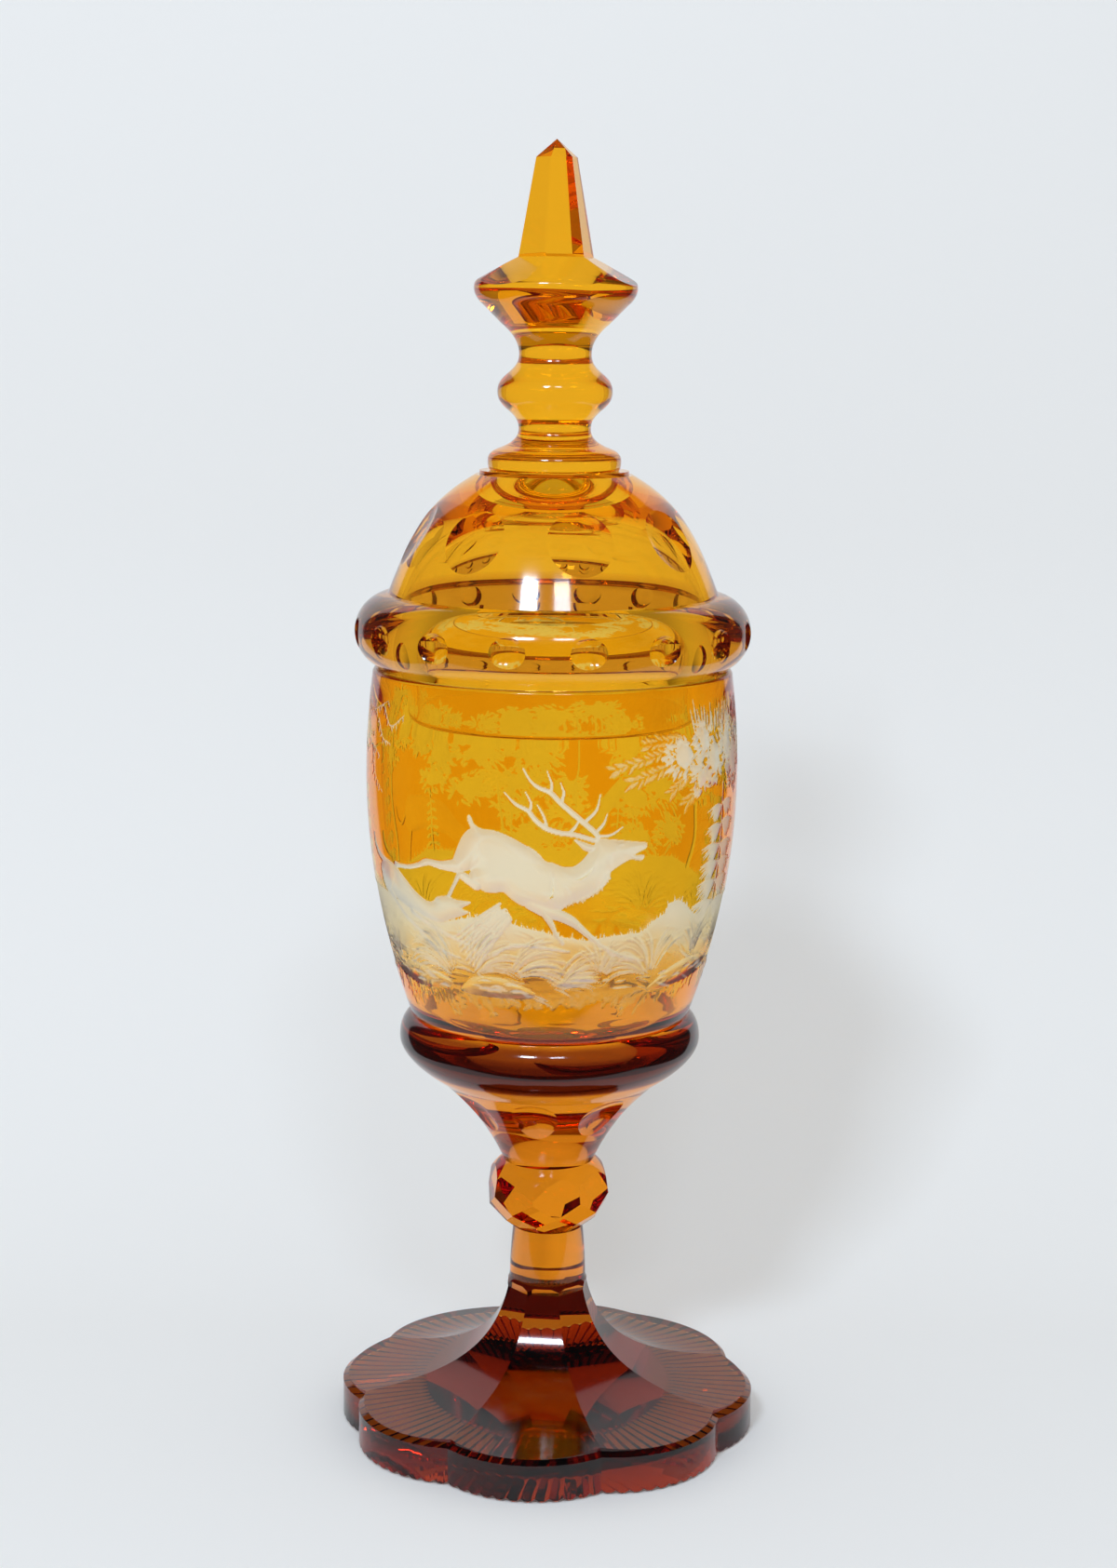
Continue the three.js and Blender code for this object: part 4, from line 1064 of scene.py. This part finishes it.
def make_upper():
    """Calyx, collar and bowl in one, with their foot hidden inside the knop."""
    crest = (COLLAR_RADIUS, COLLAR_BASE + COLLAR_CREST)
    calyx_top, bowl_foot = (CALYX_TOP_RADIUS, COLLAR_BASE), (BOWL_BASE_RADIUS, BOWL_BASE)
    floor = BOWL_BASE - BOWL_FLOOR_DROP
    corner_top = floor + BOWL_CORNER
    lip_foot = RIM - BOWL_RIM_ROUND
    flare = bezier((KNOP_SHOULDER, CALYX_BASE), (CALYX_WAIST[0], CALYX_BASE + CALYX_WAIST[1]),
                   calyx_top, steps=FLARE_STEPS)
    plain = np.linspace(BOWL_BASE, BOWL_BASE + ENGRAVED_FROM, PLAIN_ROWS)[:-1]
    engraved = np.linspace(BOWL_BASE + ENGRAVED_FROM, lip_foot - 0.5, ENGRAVED_ROWS)
    outside = np.concatenate([plain, engraved, [lip_foot]])
    inside = np.linspace(lip_foot, corner_top, BOWL_INSIDE_ROWS)
    blank = outline(
        [(0, CALYX_BASE - OVERLAP), (NECK_RADIUS - 1, CALYX_BASE - OVERLAP),
         (KNOP_SHOULDER - 0.5, CALYX_BASE - 0.6)], flare,
        bezier(calyx_top, (COLLAR_RADIUS, COLLAR_BASE + COLLAR_SWELL), crest),
        bezier(crest, (COLLAR_RADIUS, BOWL_BASE - COLLAR_TUCK), bowl_foot),
        np.column_stack([bowl_outside(outside), outside]),
        arc((bowl_outside(RIM) - BOWL_RIM_ROUND, lip_foot), BOWL_RIM_ROUND, 0, 90, EDGE_STEPS),
        arc((bowl_inside(RIM) + BOWL_RIM_ROUND, lip_foot), BOWL_RIM_ROUND, 90, 180, EDGE_STEPS),
        np.column_stack([bowl_inside(inside), inside]),
        bezier((bowl_inside(corner_top), corner_top),
               (BOWL_FLOOR_RADIUS + 0.75 * BOWL_CORNER, floor), (BOWL_FLOOR_RADIUS, floor)),
        line((BOWL_FLOOR_RADIUS, floor), (1, floor), 3), [(0, floor)])
    fine = is_carved(blank[:, 0], blank[:, 1], engraved)
    counts = np.where(fine, AROUND * ENGRAVED_FINENESS, AROUND)
    verts, faces = turned(blank, counts)
    radius = np.hypot(verts[:, 0], verts[:, 1])
    carved = is_carved(radius, verts[:, 2], engraved)
    verts[carved, :2] *= (1 - plate_at(depth_plate, verts[carved]) / radius[carved])[:, None]
    upper = solid("upper_glass", verts, faces)
    height = CALYX_BASE + CALYX_CUT_HEIGHT
    radius, tilt = on_outline(flare, height)
    bite = CALYX_CUT_RADIUS ** 2 * (1 / (2 * CALYX_CUT_BALL) + 1 / (4 * radius))
    cuts = [ball_cut(azimuth, tilt, radius, height, CALYX_CUT_BALL, bite)
            for azimuth in around_axis(CALYX_CUTS, CALYX_CUT_TURN)]
    return combine(upper, cuts, "DIFFERENCE")


def is_carved(radius, height, engraved):
    """Whether a point is one of the bowl's outside at one of its engraved heights."""
    return np.isin(height, engraved) & (radius > bowl_outside(height) - 0.01)


def make_goblet():
    foot = make_foot(KNOP_BASE + NECK_INSIDE_KNOP)
    return combine(foot, [make_knop(), make_upper()], "UNION")


# Cover
SEAT = RIM + SEAT_CLEARANCE
BEAD_CENTRE = SEAT + BEAD_ROUND - BEAD_SINK
DOME_BASE = BEAD_CENTRE + BEAD_ROUND
DOME_TOP = MERESE_BASE - STEP_HEIGHT


def dome_curve(shrink=0.0):
    """The dome's outside, or its inside when shrunk by the wall."""
    inner = shrink > 0
    return bezier((DOME_FOOT_RADIUS - shrink, DOME_BASE - (DOME_INSIDE_DROP if inner else 0)),
                  (DOME_FOOT_RADIUS - DOME_FOOT_LEAN - shrink,
                   DOME_BASE + DOME_FOOT_RISE - shrink * 0.3),
                  (DOME_TOP_RADIUS + DOME_SHOULDER_WIDTH - shrink * 0.7,
                   DOME_TOP - DOME_SHOULDER_DROP - shrink * 0.8),
                  (DOME_TOP_RADIUS * (0.45 if inner else 1), DOME_TOP - shrink * DOME_CROWN_WALL),
                  steps=DOME_STEPS)


def make_dome():
    bore = FLANGE_RADIUS - FLANGE_WALL
    axis = (BEAD_RADIUS - BEAD_ROUND, BEAD_CENTRE)
    seat_edge = axis[0] + SEAT_WIDTH / 2
    seat_angle = math.degrees(math.asin((SEAT - axis[1]) / BEAD_ROUND))
    bead_end = math.degrees(math.acos((DOME_FOOT_RADIUS + 0.6 - axis[0]) / BEAD_ROUND))
    turn = FLANGE_END + FLANGE_ROUND
    outside = dome_curve()
    blank = outline(
        arc((FLANGE_RADIUS - FLANGE_ROUND, turn), FLANGE_ROUND, -90, 0, EDGE_STEPS),
        line((FLANGE_RADIUS, turn), (FLANGE_RADIUS, SEAT)),
        line((FLANGE_RADIUS, SEAT), (seat_edge, SEAT)),
        arc(axis, BEAD_ROUND, seat_angle + BEAD_UNDERCUT, bead_end, BEAD_STEPS), outside,
        [(STEP_RADIUS, DOME_TOP), (STEP_RADIUS, MERESE_BASE), (0, MERESE_BASE),
         (0, DOME_TOP - DOME_WALL * DOME_CROWN_WALL)],
        dome_curve(DOME_WALL)[::-1], line((bore, BEAD_CENTRE + BORE_RISE), (bore, turn)),
        arc((bore + FLANGE_ROUND, turn), FLANGE_ROUND, 180, 270, EDGE_STEPS)[:-1])
    dome = solid("dome_glass", *turned(blank))
    bite = BEAD_CUT_RADIUS ** 2 * (1 / (2 * BEAD_RADIUS) + 1 / (2 * BEAD_CUT_BALL))
    cuts = [ball_cut(azimuth, 0, BEAD_RADIUS, BEAD_CENTRE, BEAD_CUT_BALL, bite)
            for azimuth in around_axis(BEAD_CUTS, BEAD_CUT_TURN)]
    height = DOME_BASE + DOME_CUT_HEIGHT
    radius, tilt = on_outline(outside, height)
    bite = DOME_CUT_RADIUS ** 2 * (1 / (2 * DOME_CUT_BALL) + 1 / (2 * DOME_FOOT_RADIUS))
    cuts += [ball_cut(azimuth, tilt, radius, height, DOME_CUT_BALL, bite, WIDE_BALL_SEGMENTS)
             for azimuth in around_axis(DOME_CUTS, DOME_CUT_TURN)]
    return combine(dome, cuts, "DIFFERENCE")


def make_finial():
    crest = (MERESE_RADIUS, MERESE_BASE + MERESE_CREST)
    merese_edge = (MERESE_RADIUS - MERESE_SHOULDER_WIDTH, crest[1] + MERESE_SHOULDER)
    knop_crest = (FINIAL_KNOP_RADIUS, (FINIAL_KNOP_BASE + DISC_BASE) / 2)
    knop_foot, knop_top = (FINIAL_NECK, FINIAL_KNOP_BASE), (FINIAL_NECK, DISC_BASE)
    disc_crest = (DISC_RADIUS, DISC_BASE + DISC_CREST)
    shoulder = (DISC_RADIUS - 1, disc_crest[1] + DISC_SHOULDER)
    blank = outline(
        [(0, MERESE_BASE - OVERLAP), (MERESE_RADIUS - 2, MERESE_BASE - 0.7)],
        bezier((MERESE_RADIUS - 1, MERESE_BASE), (MERESE_RADIUS, MERESE_BASE), crest, steps=8),
        bezier(crest, (MERESE_RADIUS, crest[1] + MERESE_ROUND), merese_edge, steps=12),
        bezier(merese_edge, (FINIAL_NECK, crest[1] + MERESE_SLOPE), knop_foot),
        ogee(knop_foot, knop_crest), ogee(knop_crest, knop_top),
        bezier(knop_top, (FINIAL_NECK, DISC_BASE + DISC_CONE_EASE),
               (FINIAL_NECK + DISC_CONE_STEP, DISC_BASE + DISC_CONE_FOOT)),
        bezier((DISC_RADIUS - DISC_ROUND[0], disc_crest[1] - DISC_ROUND[1]),
               (DISC_RADIUS, disc_crest[1] - DISC_EASE[0]), disc_crest),
        bezier(disc_crest, (DISC_RADIUS, disc_crest[1] + DISC_EASE[1]), shoulder, steps=12),
        line(shoulder, (DISC_TOP_RADIUS, SPIRE_BASE)), [(0, SPIRE_BASE)])
    finial = solid("finial_glass", *turned(blank))
    tilt = math.degrees(math.atan2(shoulder[0] - DISC_TOP_RADIUS, SPIRE_BASE - shoulder[1]))
    inner = DISC_TOP_RADIUS * math.cos(math.pi / SPIRE_SIDES) - DISC_FLAT_DEPTH
    flats = [flat_cut(azimuth, tilt, inner, SPIRE_BASE, DISC_WHEEL)
             for azimuth in around_axis(SPIRE_SIDES, SPIRE_TURN)]
    return combine(finial, flats, "DIFFERENCE")


def make_spire():
    turn = Quaternion((0, 0, 1), math.radians(SPIRE_TURN + 180 / SPIRE_SIDES))
    path = outline([(0, SPIRE_BASE - 4), (SPIRE_FOOT - 3, SPIRE_BASE - 4), (SPIRE_FOOT, SPIRE_BASE),
                    (SPIRE_TIP_RADIUS, TIP - SPIRE_POINT), (0, TIP)])
    verts, faces = turned(path, SPIRE_SIDES)
    verts = [turn @ Vector(v) for v in verts]
    return solid("spire_glass", verts, faces, [next(parts) for _ in faces])


def make_cover():
    return combine(make_dome(), [make_finial(), make_spire()], "UNION")


def read_all(items, name, kind=float, width=1):
    """One property of all of a mesh's items, with a row for each item where it has a width."""
    values = np.zeros(len(items) * width, kind)
    items.foreach_get(name, values)
    return values.reshape(-1, width) if width > 1 else values


def write_attribute(mesh, name, kind, domain, values):
    mesh.attributes.new(name, kind, domain).data.foreach_set("value", values)


def finish_glass(obj, name, body, nodes, materials, pick):
    """Smooths the turned faces, keeps each cut's edge crisp, and puts the glass on its body.
    pick gives each face its place in the list of materials."""
    mesh = obj.data
    obj.name = mesh.name = name
    scratch.objects.unlink(obj)
    bpy.context.scene.collection.objects.link(obj)
    mesh.shade_smooth()
    part = read_all(mesh.attributes["part"].data, "value", np.int32)
    mesh.attributes.remove(mesh.attributes["part"])
    normals = read_all(mesh.polygons, "normal", width=3)
    surface = pick(read_all(mesh.polygons, "center", width=3) / MILLIMETRE, normals)
    edge_of_loop = read_all(mesh.loops, "edge_index", np.int32)
    corners = read_all(mesh.polygons, "loop_total", np.int32)
    face_of_loop = np.repeat(np.arange(len(corners)), corners)
    order = np.argsort(edge_of_loop, kind="stable")
    edges = edge_of_loop[order].reshape(-1, 2)[:, 0]
    one, other = face_of_loop[order].reshape(-1, 2).T
    bend = (normals[one] * normals[other]).sum(1)
    sharp = np.zeros(len(mesh.edges), bool)
    sharp[edges] = ((part[one] != part[other]) | (bend < math.cos(math.radians(SMOOTH_BELOW)))) \
        & (surface[one] != ENGRAVED) & (surface[other] != ENGRAVED)
    write_attribute(mesh, "sharp_edge", "BOOLEAN", "EDGE", sharp)
    places = read_all(mesh.vertices, "co", width=3) / MILLIMETRE
    if (surface == ENGRAVED).any():
        write_attribute(mesh, "matt", "FLOAT", "POINT", plate_at(matt_plate, places))
    # How far painted shade darkens the stain at each point
    write_attribute(mesh, "painted_shade", "FLOAT", "POINT", painted_shade_at(places))
    mesh.materials.clear()
    for material in materials:
        mesh.materials.append(material)
    mesh.polygons.foreach_set("material_index", surface.astype(np.int32))
    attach(obj, body)
    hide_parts(*nodes)


# Surfaces of the glass
SMOOTH_BELOW = 18.0
STAINED, CLEAR, UNDERSIDE, LIT_EDGE, ENGRAVED, STEM = range(6)
# Below this height the foot's own faces are its underside
UNDERSIDE_TOP = 2
# How far a face leans: one of the underside, of the edge with the painted highlight, of the
# cover's inside, and of the dome's ceiling, which starts this far above the dome's foot
UNDERSIDE_LEAN = -0.3
LIT_EDGE_LEAN = 0.8
INSIDE_LEAN = -0.02
CEILING_LEAN = -0.9
CEILING_FROM = 20
ENGRAVED_MATT = 0.01
# How much painted shade darkens the stain at each height up the goblet, at each height of the
# collar's front, at each radius of the underside, and at each height of the cover's bead
SHADE_AT_HEIGHT = ((0, 0.12), (11, 0.12), (14, 0.02), (24, 0.08), (40, 0.12), (47, 0.0), (84, 0.0),
                  (90, 0.04), (104, 0.04), (110, 0.0))
SHADE_ON_COLLAR_FRONT = ((117.0, 0.0), (118.6, 1.0), (127.0, 0.95), (129.5, 0.50), (132.0, 0.36),
                  (133.2, 0.0))
SHADE_AT_UNDERSIDE = ((0, 0.20), (34, 0.16), (46, 0.08), (58, 0.03))
SHADE_ON_BEAD_BACK = 0.14
BEAD_SHADE_SPAN = ((RIM + 0.1, 0), (RIM + 3, 1), (DOME_BASE - 1, 1), (DOME_BASE + 4, 0))
# The front's share at the side, and how fast it rises towards the camera, for the painted shade
FRONT_AT_SIDE = 0.3
FRONT_RISE = 1.8


def painted_shade_at(places):
    """Painted shade, which darkens the stain: most on the collar's front, more on the back of the
    cover's bead than on its front, in bands up the goblet, and towards the underside's middle."""
    radius, height = np.hypot(places[:, 0], places[:, 1]), places[:, 2]
    front = np.clip(FRONT_AT_SIDE - FRONT_RISE * places[:, 1] / np.maximum(radius, 1), 0, 1)
    painted_shade = between(SHADE_AT_HEIGHT, height)
    painted_shade = np.maximum(painted_shade, front * between(SHADE_ON_COLLAR_FRONT, height))
    painted_shade = np.maximum(painted_shade, between(BEAD_SHADE_SPAN, height) * SHADE_ON_BEAD_BACK * (1 - front))
    return np.where(height < UNDERSIDE_TOP, between(SHADE_AT_UNDERSIDE, radius), painted_shade)


def goblet_surfaces(places, normals):
    """The bowl's inside has no stain, the foot's underside has more, and its lowest edge has a
    paler stain as a painted highlight."""
    radius, height = np.hypot(places[:, 0], places[:, 1]), places[:, 2]
    surface = np.where(height < BOWL_BASE, STEM, STAINED)
    surface[(height < UNDERSIDE_TOP) & (normals[:, 2] < UNDERSIDE_LEAN)] = UNDERSIDE
    upright = np.abs(normals[:, 2]) < LIT_EDGE_LEAN
    # The foot's lowest upright edge gets a paler stain, a painted highlight
    surface[(height < FOOT_CHAMFER) & (radius > NOTCH_RADIUS - 2) & upright] = LIT_EDGE
    outside = radius > bowl_outside(height) - BOWL_RIM_WALL / 2 - 0.2
    surface[(height > BOWL_BASE - BOWL_FLOOR_DROP - 0.5) & ~outside] = CLEAR
    engraved = plate_at(matt_plate, places) > ENGRAVED_MATT
    surface[(height > BOWL_BASE) & outside & engraved] = ENGRAVED
    return surface


def cover_surfaces(places, normals):
    """The flange, the seat and the dome's inside have no stain."""
    radius, height = np.hypot(places[:, 0], places[:, 1]), places[:, 2]
    outward_lean = (normals[:, :2] * places[:, :2]).sum(1) / np.maximum(radius, 1e-6)
    inward = outward_lean < INSIDE_LEAN
    under = (normals[:, 2] < CEILING_LEAN) & (height > DOME_BASE + CEILING_FROM)
    clear = (height < SEAT + 0.2) | ((inward | under) & (height < DOME_TOP - 1))
    return np.where(clear, CLEAR, STAINED)


# Materials
GOBLET_STAIN = (0.96, 0.565, 0.02)
COVER_STAIN = (0.98, 0.67, 0.115)
UNDERSIDE_STAIN = (0.70, 0.36, 0.05)
# The dark colour that painted shade takes the stain towards
PAINTED_SHADE_STAIN = (0.10, 0.014, 0.01)
STEM_STAIN = (0.93, 0.53, 0.10)
# A paler stain on the foot's lowest edge: a painted highlight of the light it catches
LIT_EDGE_STAIN = (1.0, 0.80, 0.60)
NO_STAIN = (1.0, 1.0, 1.0)
STAIN_STOPS = 6
# How often light that is mirrored inside counts as dyed: in and out, and less in the thin cover
BOUNCE = 2.0
COVER_BOUNCE = 0.7
GLASS_IOR = 1.52
POLISH = 0.10
MATT_COLOUR = (0.90, 0.84, 0.74)
MATT_TINT = (1.0, 0.88, 0.58)
# How ground the glass is where the stain is just gone, and from the finest to the coarsest grinding
STAIN_GONE = 0.62
MATT_SPAN = (0.35, 0.95)
MATT_ROUGHNESS = (0.24, 0.45)
MATT_SCATTER = (0.05, 0.50)


def add_node(tree, kind, inputs={}, output=0, **settings):
    """Adds a shader node and returns one of its outputs. Each input is given a value, or the
    output of another node that feeds it."""
    node = tree.nodes.new("ShaderNode" + kind)
    for name, value in settings.items():
        setattr(node, name, value)
    for name, value in inputs.items():
        if isinstance(value, bpy.types.NodeSocket):
            tree.links.new(value, node.inputs[name])
        else:
            node.inputs[name].default_value = value
    return node.outputs[output]


def mix_shaders(tree, share, first, second):
    return add_node(tree, "MixShader", {0: share, 1: first, 2: second})


def by_side(tree, front, back):
    """One shader for faces that are seen from the front, and one from the back."""
    backfacing = add_node(tree, "NewGeometry", output="Backfacing")
    return mix_shaders(tree, backfacing, front, back)


def ramp(tree, share, stops):
    """A colour that follows a share from stop to stop, each at its own place."""
    colour = add_node(tree, "ValToRGB", {"Fac": share})
    elements = colour.node.color_ramp.elements
    while len(elements) < len(stops):
        elements.new(0.5)
    for element, (place, value) in zip(elements, stops):
        element.position = place
        element.color = (*value, 1)
    return colour


def new_material(name, shader):
    """A material whose surface is the shader that a function makes in its node tree."""
    material = bpy.data.materials.new(name)
    material.use_nodes = True
    tree = material.node_tree
    tree.nodes.clear()
    output = tree.nodes.new("ShaderNodeOutputMaterial")
    tree.links.new(shader(tree), output.inputs["Surface"])
    return material


def glass_shader(tree, stain, shade_stain=None, bounce=BOUNCE):
    """Clear glass under a thin stain: light is dyed each time it crosses the surface, and darkened
    more where painted shade is laid on."""
    through = add_node(tree, "BsdfRefraction",
                       {"Color": (*stain, 1), "IOR": GLASS_IOR, "Roughness": 0.0})
    outer = add_node(tree, "BsdfGlossy", {"Color": (1, 1, 1, 1), "Roughness": POLISH})
    inner = add_node(tree, "BsdfGlossy",
                     {"Color": (*(c ** bounce for c in stain), 1), "Roughness": 0.0})
    if shade_stain:
        # How much painted shade there is at each point
        painted_shade = add_node(tree, "Attribute", output="Fac", attribute_name="painted_shade")
        for shader, power in ((through, 1), (inner, bounce)):
            stops = [(s, [(a ** (1 - s) * b ** s) ** power for a, b in zip(stain, shade_stain)])
                     for s in np.linspace(0, 1, STAIN_STOPS) ** 2]
            tree.links.new(ramp(tree, painted_shade, stops), shader.node.inputs["Color"])
    fresnel = add_node(tree, "Fresnel", {"IOR": GLASS_IOR})
    return mix_shaders(tree, fresnel, through, by_side(tree, outer, inner))


def glass_material(name, *stain):
    return new_material(name, lambda tree: glass_shader(tree, *stain))


def engraved_shader(tree, stain):
    """Stained glass that the engraver's wheel has cut through: where it is matt, it is bare ground
    glass, which scatters the light that falls on it and blurs what shines through."""
    matt = add_node(tree, "Attribute", output="Fac", attribute_name="matt")

    def by_matt(span, values):
        names = ("From Min", "From Max", "To Min", "To Max")
        return add_node(tree, "MapRange", {"Value": matt, **dict(zip(names, (*span, *values)))})

    through = add_node(tree, "BsdfRefraction",
                       {"Color": (*MATT_TINT, 1), "IOR": GLASS_IOR,
                        "Roughness": by_matt(MATT_SPAN, MATT_ROUGHNESS)})
    lit = add_node(tree, "BsdfDiffuse", {"Color": (*MATT_COLOUR, 1)})
    from_behind = add_node(tree, "BsdfTranslucent", {"Color": (*MATT_COLOUR, 1)})
    ground_glass = mix_shaders(tree, by_matt(MATT_SPAN, MATT_SCATTER), through,
                               by_side(tree, lit, from_behind))
    return mix_shaders(tree, by_matt((0, STAIN_GONE), (0, 1)), glass_shader(tree, stain),
                       ground_glass)


# Studio. Its lengths are in metres.
PAPER = (0.88, 0.85, 0.82, 1.0)
PALE = (0.80, 0.83, 0.85, 1.0)
AIR_UNDER_FOOT = 0.0001
GLOW_TO_CAMERA = 0.07
GLOW_THROUGH_GLASS = 0.20
PAPER_FRONT = -0.15
PAPER_BEND = 0.07
PAPER_RADIUS = 0.26
PAPER_TOP = 0.62
PAPER_WIDTH = 0.66
PAPER_STEPS = 32
AMBIENT = 0.75
AMBIENT_THROUGH_GLASS = 0.1
ROOM = 0.05
# How bright the room is through glass at the sine of each angle above level: all round, and
# behind the object
ALL_ROUND = ((-0.10, 0.50), (0.12, 0.35), (0.27, 0.10), (0.62, 0.12), (0.80, 0.60))
BEHIND = ((0.35, 0.95), (0.80, 0.75))
BEHIND_FROM = (-0.1, 0.7)
WINDOW_AZIMUTHS = (-18.5, 7.0)
WINDOW_ELEVATION = 38
WINDOW_DISTANCE = 1.6
WINDOW_SIZE = (0.26, 0.16)
WINDOW_POWERS = (9.5, 3.0)
WINDOW_AIM = (0, 0, 0.2)
DAYLIGHT = (0.70, 0.84, 1.0)


def make_camera():
    data = bpy.data.cameras.new("camera")
    data.sensor_width = SENSOR
    data.lens = FOCAL_PIXELS * SENSOR / FRAME_HEIGHT_PIXELS
    data.clip_end = 50
    camera = bpy.data.objects.new("camera", data)
    place = Matrix.Translation([c * MILLIMETRE for c in CAMERA_PLACE])
    pitch = Matrix.Rotation(math.pi / 2 - CAMERA_PITCH, 4, "X")
    camera.matrix_world = place @ pitch @ Matrix.Rotation(CAMERA_ROLL, 4, "Z")
    bpy.context.scene.collection.objects.link(camera)
    bpy.context.scene.camera = camera


def paper_shader(tree):
    """Lit paper with a faint glow for the camera and through glass, and no back."""
    rays = add_node(tree, "LightPath").node.outputs
    glow = add_node(tree, "Math", {0: rays["Is Camera Ray"], 1: GLOW_TO_CAMERA},
                    operation="MULTIPLY")
    glow = add_node(tree, "Math", {0: rays["Is Transmission Ray"], 1: GLOW_THROUGH_GLASS, 2: glow},
                    operation="MULTIPLY_ADD")
    glow = add_node(tree, "Emission", {"Color": PALE, "Strength": glow})
    paper = add_node(tree, "BsdfDiffuse", {"Color": PAPER})
    lit_paper = add_node(tree, "AddShader", {0: paper, 1: glow})
    return by_side(tree, lit_paper, add_node(tree, "BsdfTransparent"))


def make_floor():
    """A narrow sweep of paper that rises close behind the object, open to the camera from its
    back."""
    bend = [(PAPER_BEND + PAPER_RADIUS * math.sin(a), PAPER_RADIUS * (1 - math.cos(a)))
            for a in np.linspace(0, math.pi / 2, PAPER_STEPS)]
    path = [(PAPER_FRONT, 0.0)] + bend + [(PAPER_BEND + PAPER_RADIUS, PAPER_TOP)]
    verts = [(x, y, z) for x in (-PAPER_WIDTH / 2, PAPER_WIDTH / 2) for y, z in path]
    count = len(path)
    faces = [(i, i + 1, count + i + 1, count + i)[::-1] for i in range(count - 1)]
    mesh = bpy.data.meshes.new("floor")
    mesh.from_pydata(verts, [], faces)
    mesh.shade_smooth()
    mesh.materials.append(new_material("floor", paper_shader))
    floor = bpy.data.objects.new("floor", mesh)
    floor.location.z = -AIR_UNDER_FOOT
    bpy.context.scene.collection.objects.link(floor)


def make_lights():
    aim = Vector(WINDOW_AIM)
    names = ("window_left", "window_right")
    for name, azimuth, power in zip(names, WINDOW_AZIMUTHS, WINDOW_POWERS):
        data = bpy.data.lights.new(name, "AREA")
        data.shape = "RECTANGLE"
        data.size, data.size_y = WINDOW_SIZE
        data.energy = power
        data.color = DAYLIGHT
        light = bpy.data.objects.new(name, data)
        light.location = aim + WINDOW_DISTANCE * outward(azimuth, WINDOW_ELEVATION)
        light.rotation_euler = (aim - light.location).to_track_quat("-Z", "Y").to_euler()
        bpy.context.scene.collection.objects.link(light)


def make_world():
    """A pale room for the camera and for matt surfaces. What glass bends is bright behind the
    object and overhead, and dimmer to the sides. What it mirrors is dark."""
    world = bpy.data.worlds.new("studio")
    world.use_nodes = True
    tree = world.node_tree
    background = tree.nodes["Background"]
    background.inputs["Color"].default_value = PALE
    way = add_node(tree, "SeparateXYZ", {0: add_node(tree, "TexCoord", output="Generated")}).node
    height = add_node(tree, "MapRange", {"Value": way.outputs["Z"], "From Min": -1})
    behind = add_node(tree, "MapRange",
                      {"Value": way.outputs["Y"], "From Min": BEHIND_FROM[0],
                       "From Max": BEHIND_FROM[1]}, interpolation_type="SMOOTHSTEP")
    all_round, straight = (
        ramp(tree, height, [((sine + 1) / 2, (value,) * 3) for sine, value in stops])
        for stops in (ALL_ROUND, BEHIND))
    rays = add_node(tree, "LightPath").node.outputs
    after_matt = add_node(tree, "Math", {0: rays["Diffuse Depth"], 1: 0.5},
                          operation="GREATER_THAN")
    strength = add_node(tree, "Mix", {"Factor": behind, "A": all_round, "B": straight})
    strength = add_node(tree, "Mix",
                        {"Factor": rays["Is Transmission Ray"], "A": ROOM, "B": strength})
    for flag, brightness in ((rays["Is Camera Ray"], 1.0), (after_matt, AMBIENT_THROUGH_GLASS),
                             (rays["Is Diffuse Ray"], AMBIENT)):
        strength = add_node(tree, "Mix", {"Factor": flag, "A": strength, "B": brightness})
    tree.links.new(strength, background.inputs["Strength"])
    world.cycles.sampling_method = "NONE"
    bpy.context.scene.world = world


make_camera()
make_world()
make_floor()
make_lights()
engrave()
clear = glass_material("clear_glass", NO_STAIN)
goblet_glass = (glass_material("goblet_glass", GOBLET_STAIN, PAINTED_SHADE_STAIN), clear,
                glass_material("underside_glass", UNDERSIDE_STAIN, PAINTED_SHADE_STAIN),
                glass_material("lit_edge_glass", LIT_EDGE_STAIN),
                new_material("engraved_glass", lambda tree: engraved_shader(tree, GOBLET_STAIN)),
                glass_material("stem_glass", STEM_STAIN, PAINTED_SHADE_STAIN))
cover_glass = (glass_material("cover_glass", COVER_STAIN, PAINTED_SHADE_STAIN, COVER_BOUNCE), clear)
finish_glass(make_goblet(), "goblet_glass", "goblet",
             ("foot", "stem_knop", "calyx", "collar_ring", "bowl"), goblet_glass, goblet_surfaces)
finish_glass(make_cover(), "cover_glass", "cover",
             ("cover_dome", "finial_merese", "finial_knop", "finial_disc", "finial_spire"),
             cover_glass, cover_surfaces)
bpy.data.collections.remove(scratch)

scene = bpy.context.scene
scene.view_settings.view_transform = "Standard"
scene.cycles.max_bounces = 32
scene.cycles.transmission_bounces = 32
scene.cycles.glossy_bounces = 16
scene.cycles.diffuse_bounces = 4
scene.cycles.transparent_max_bounces = 16
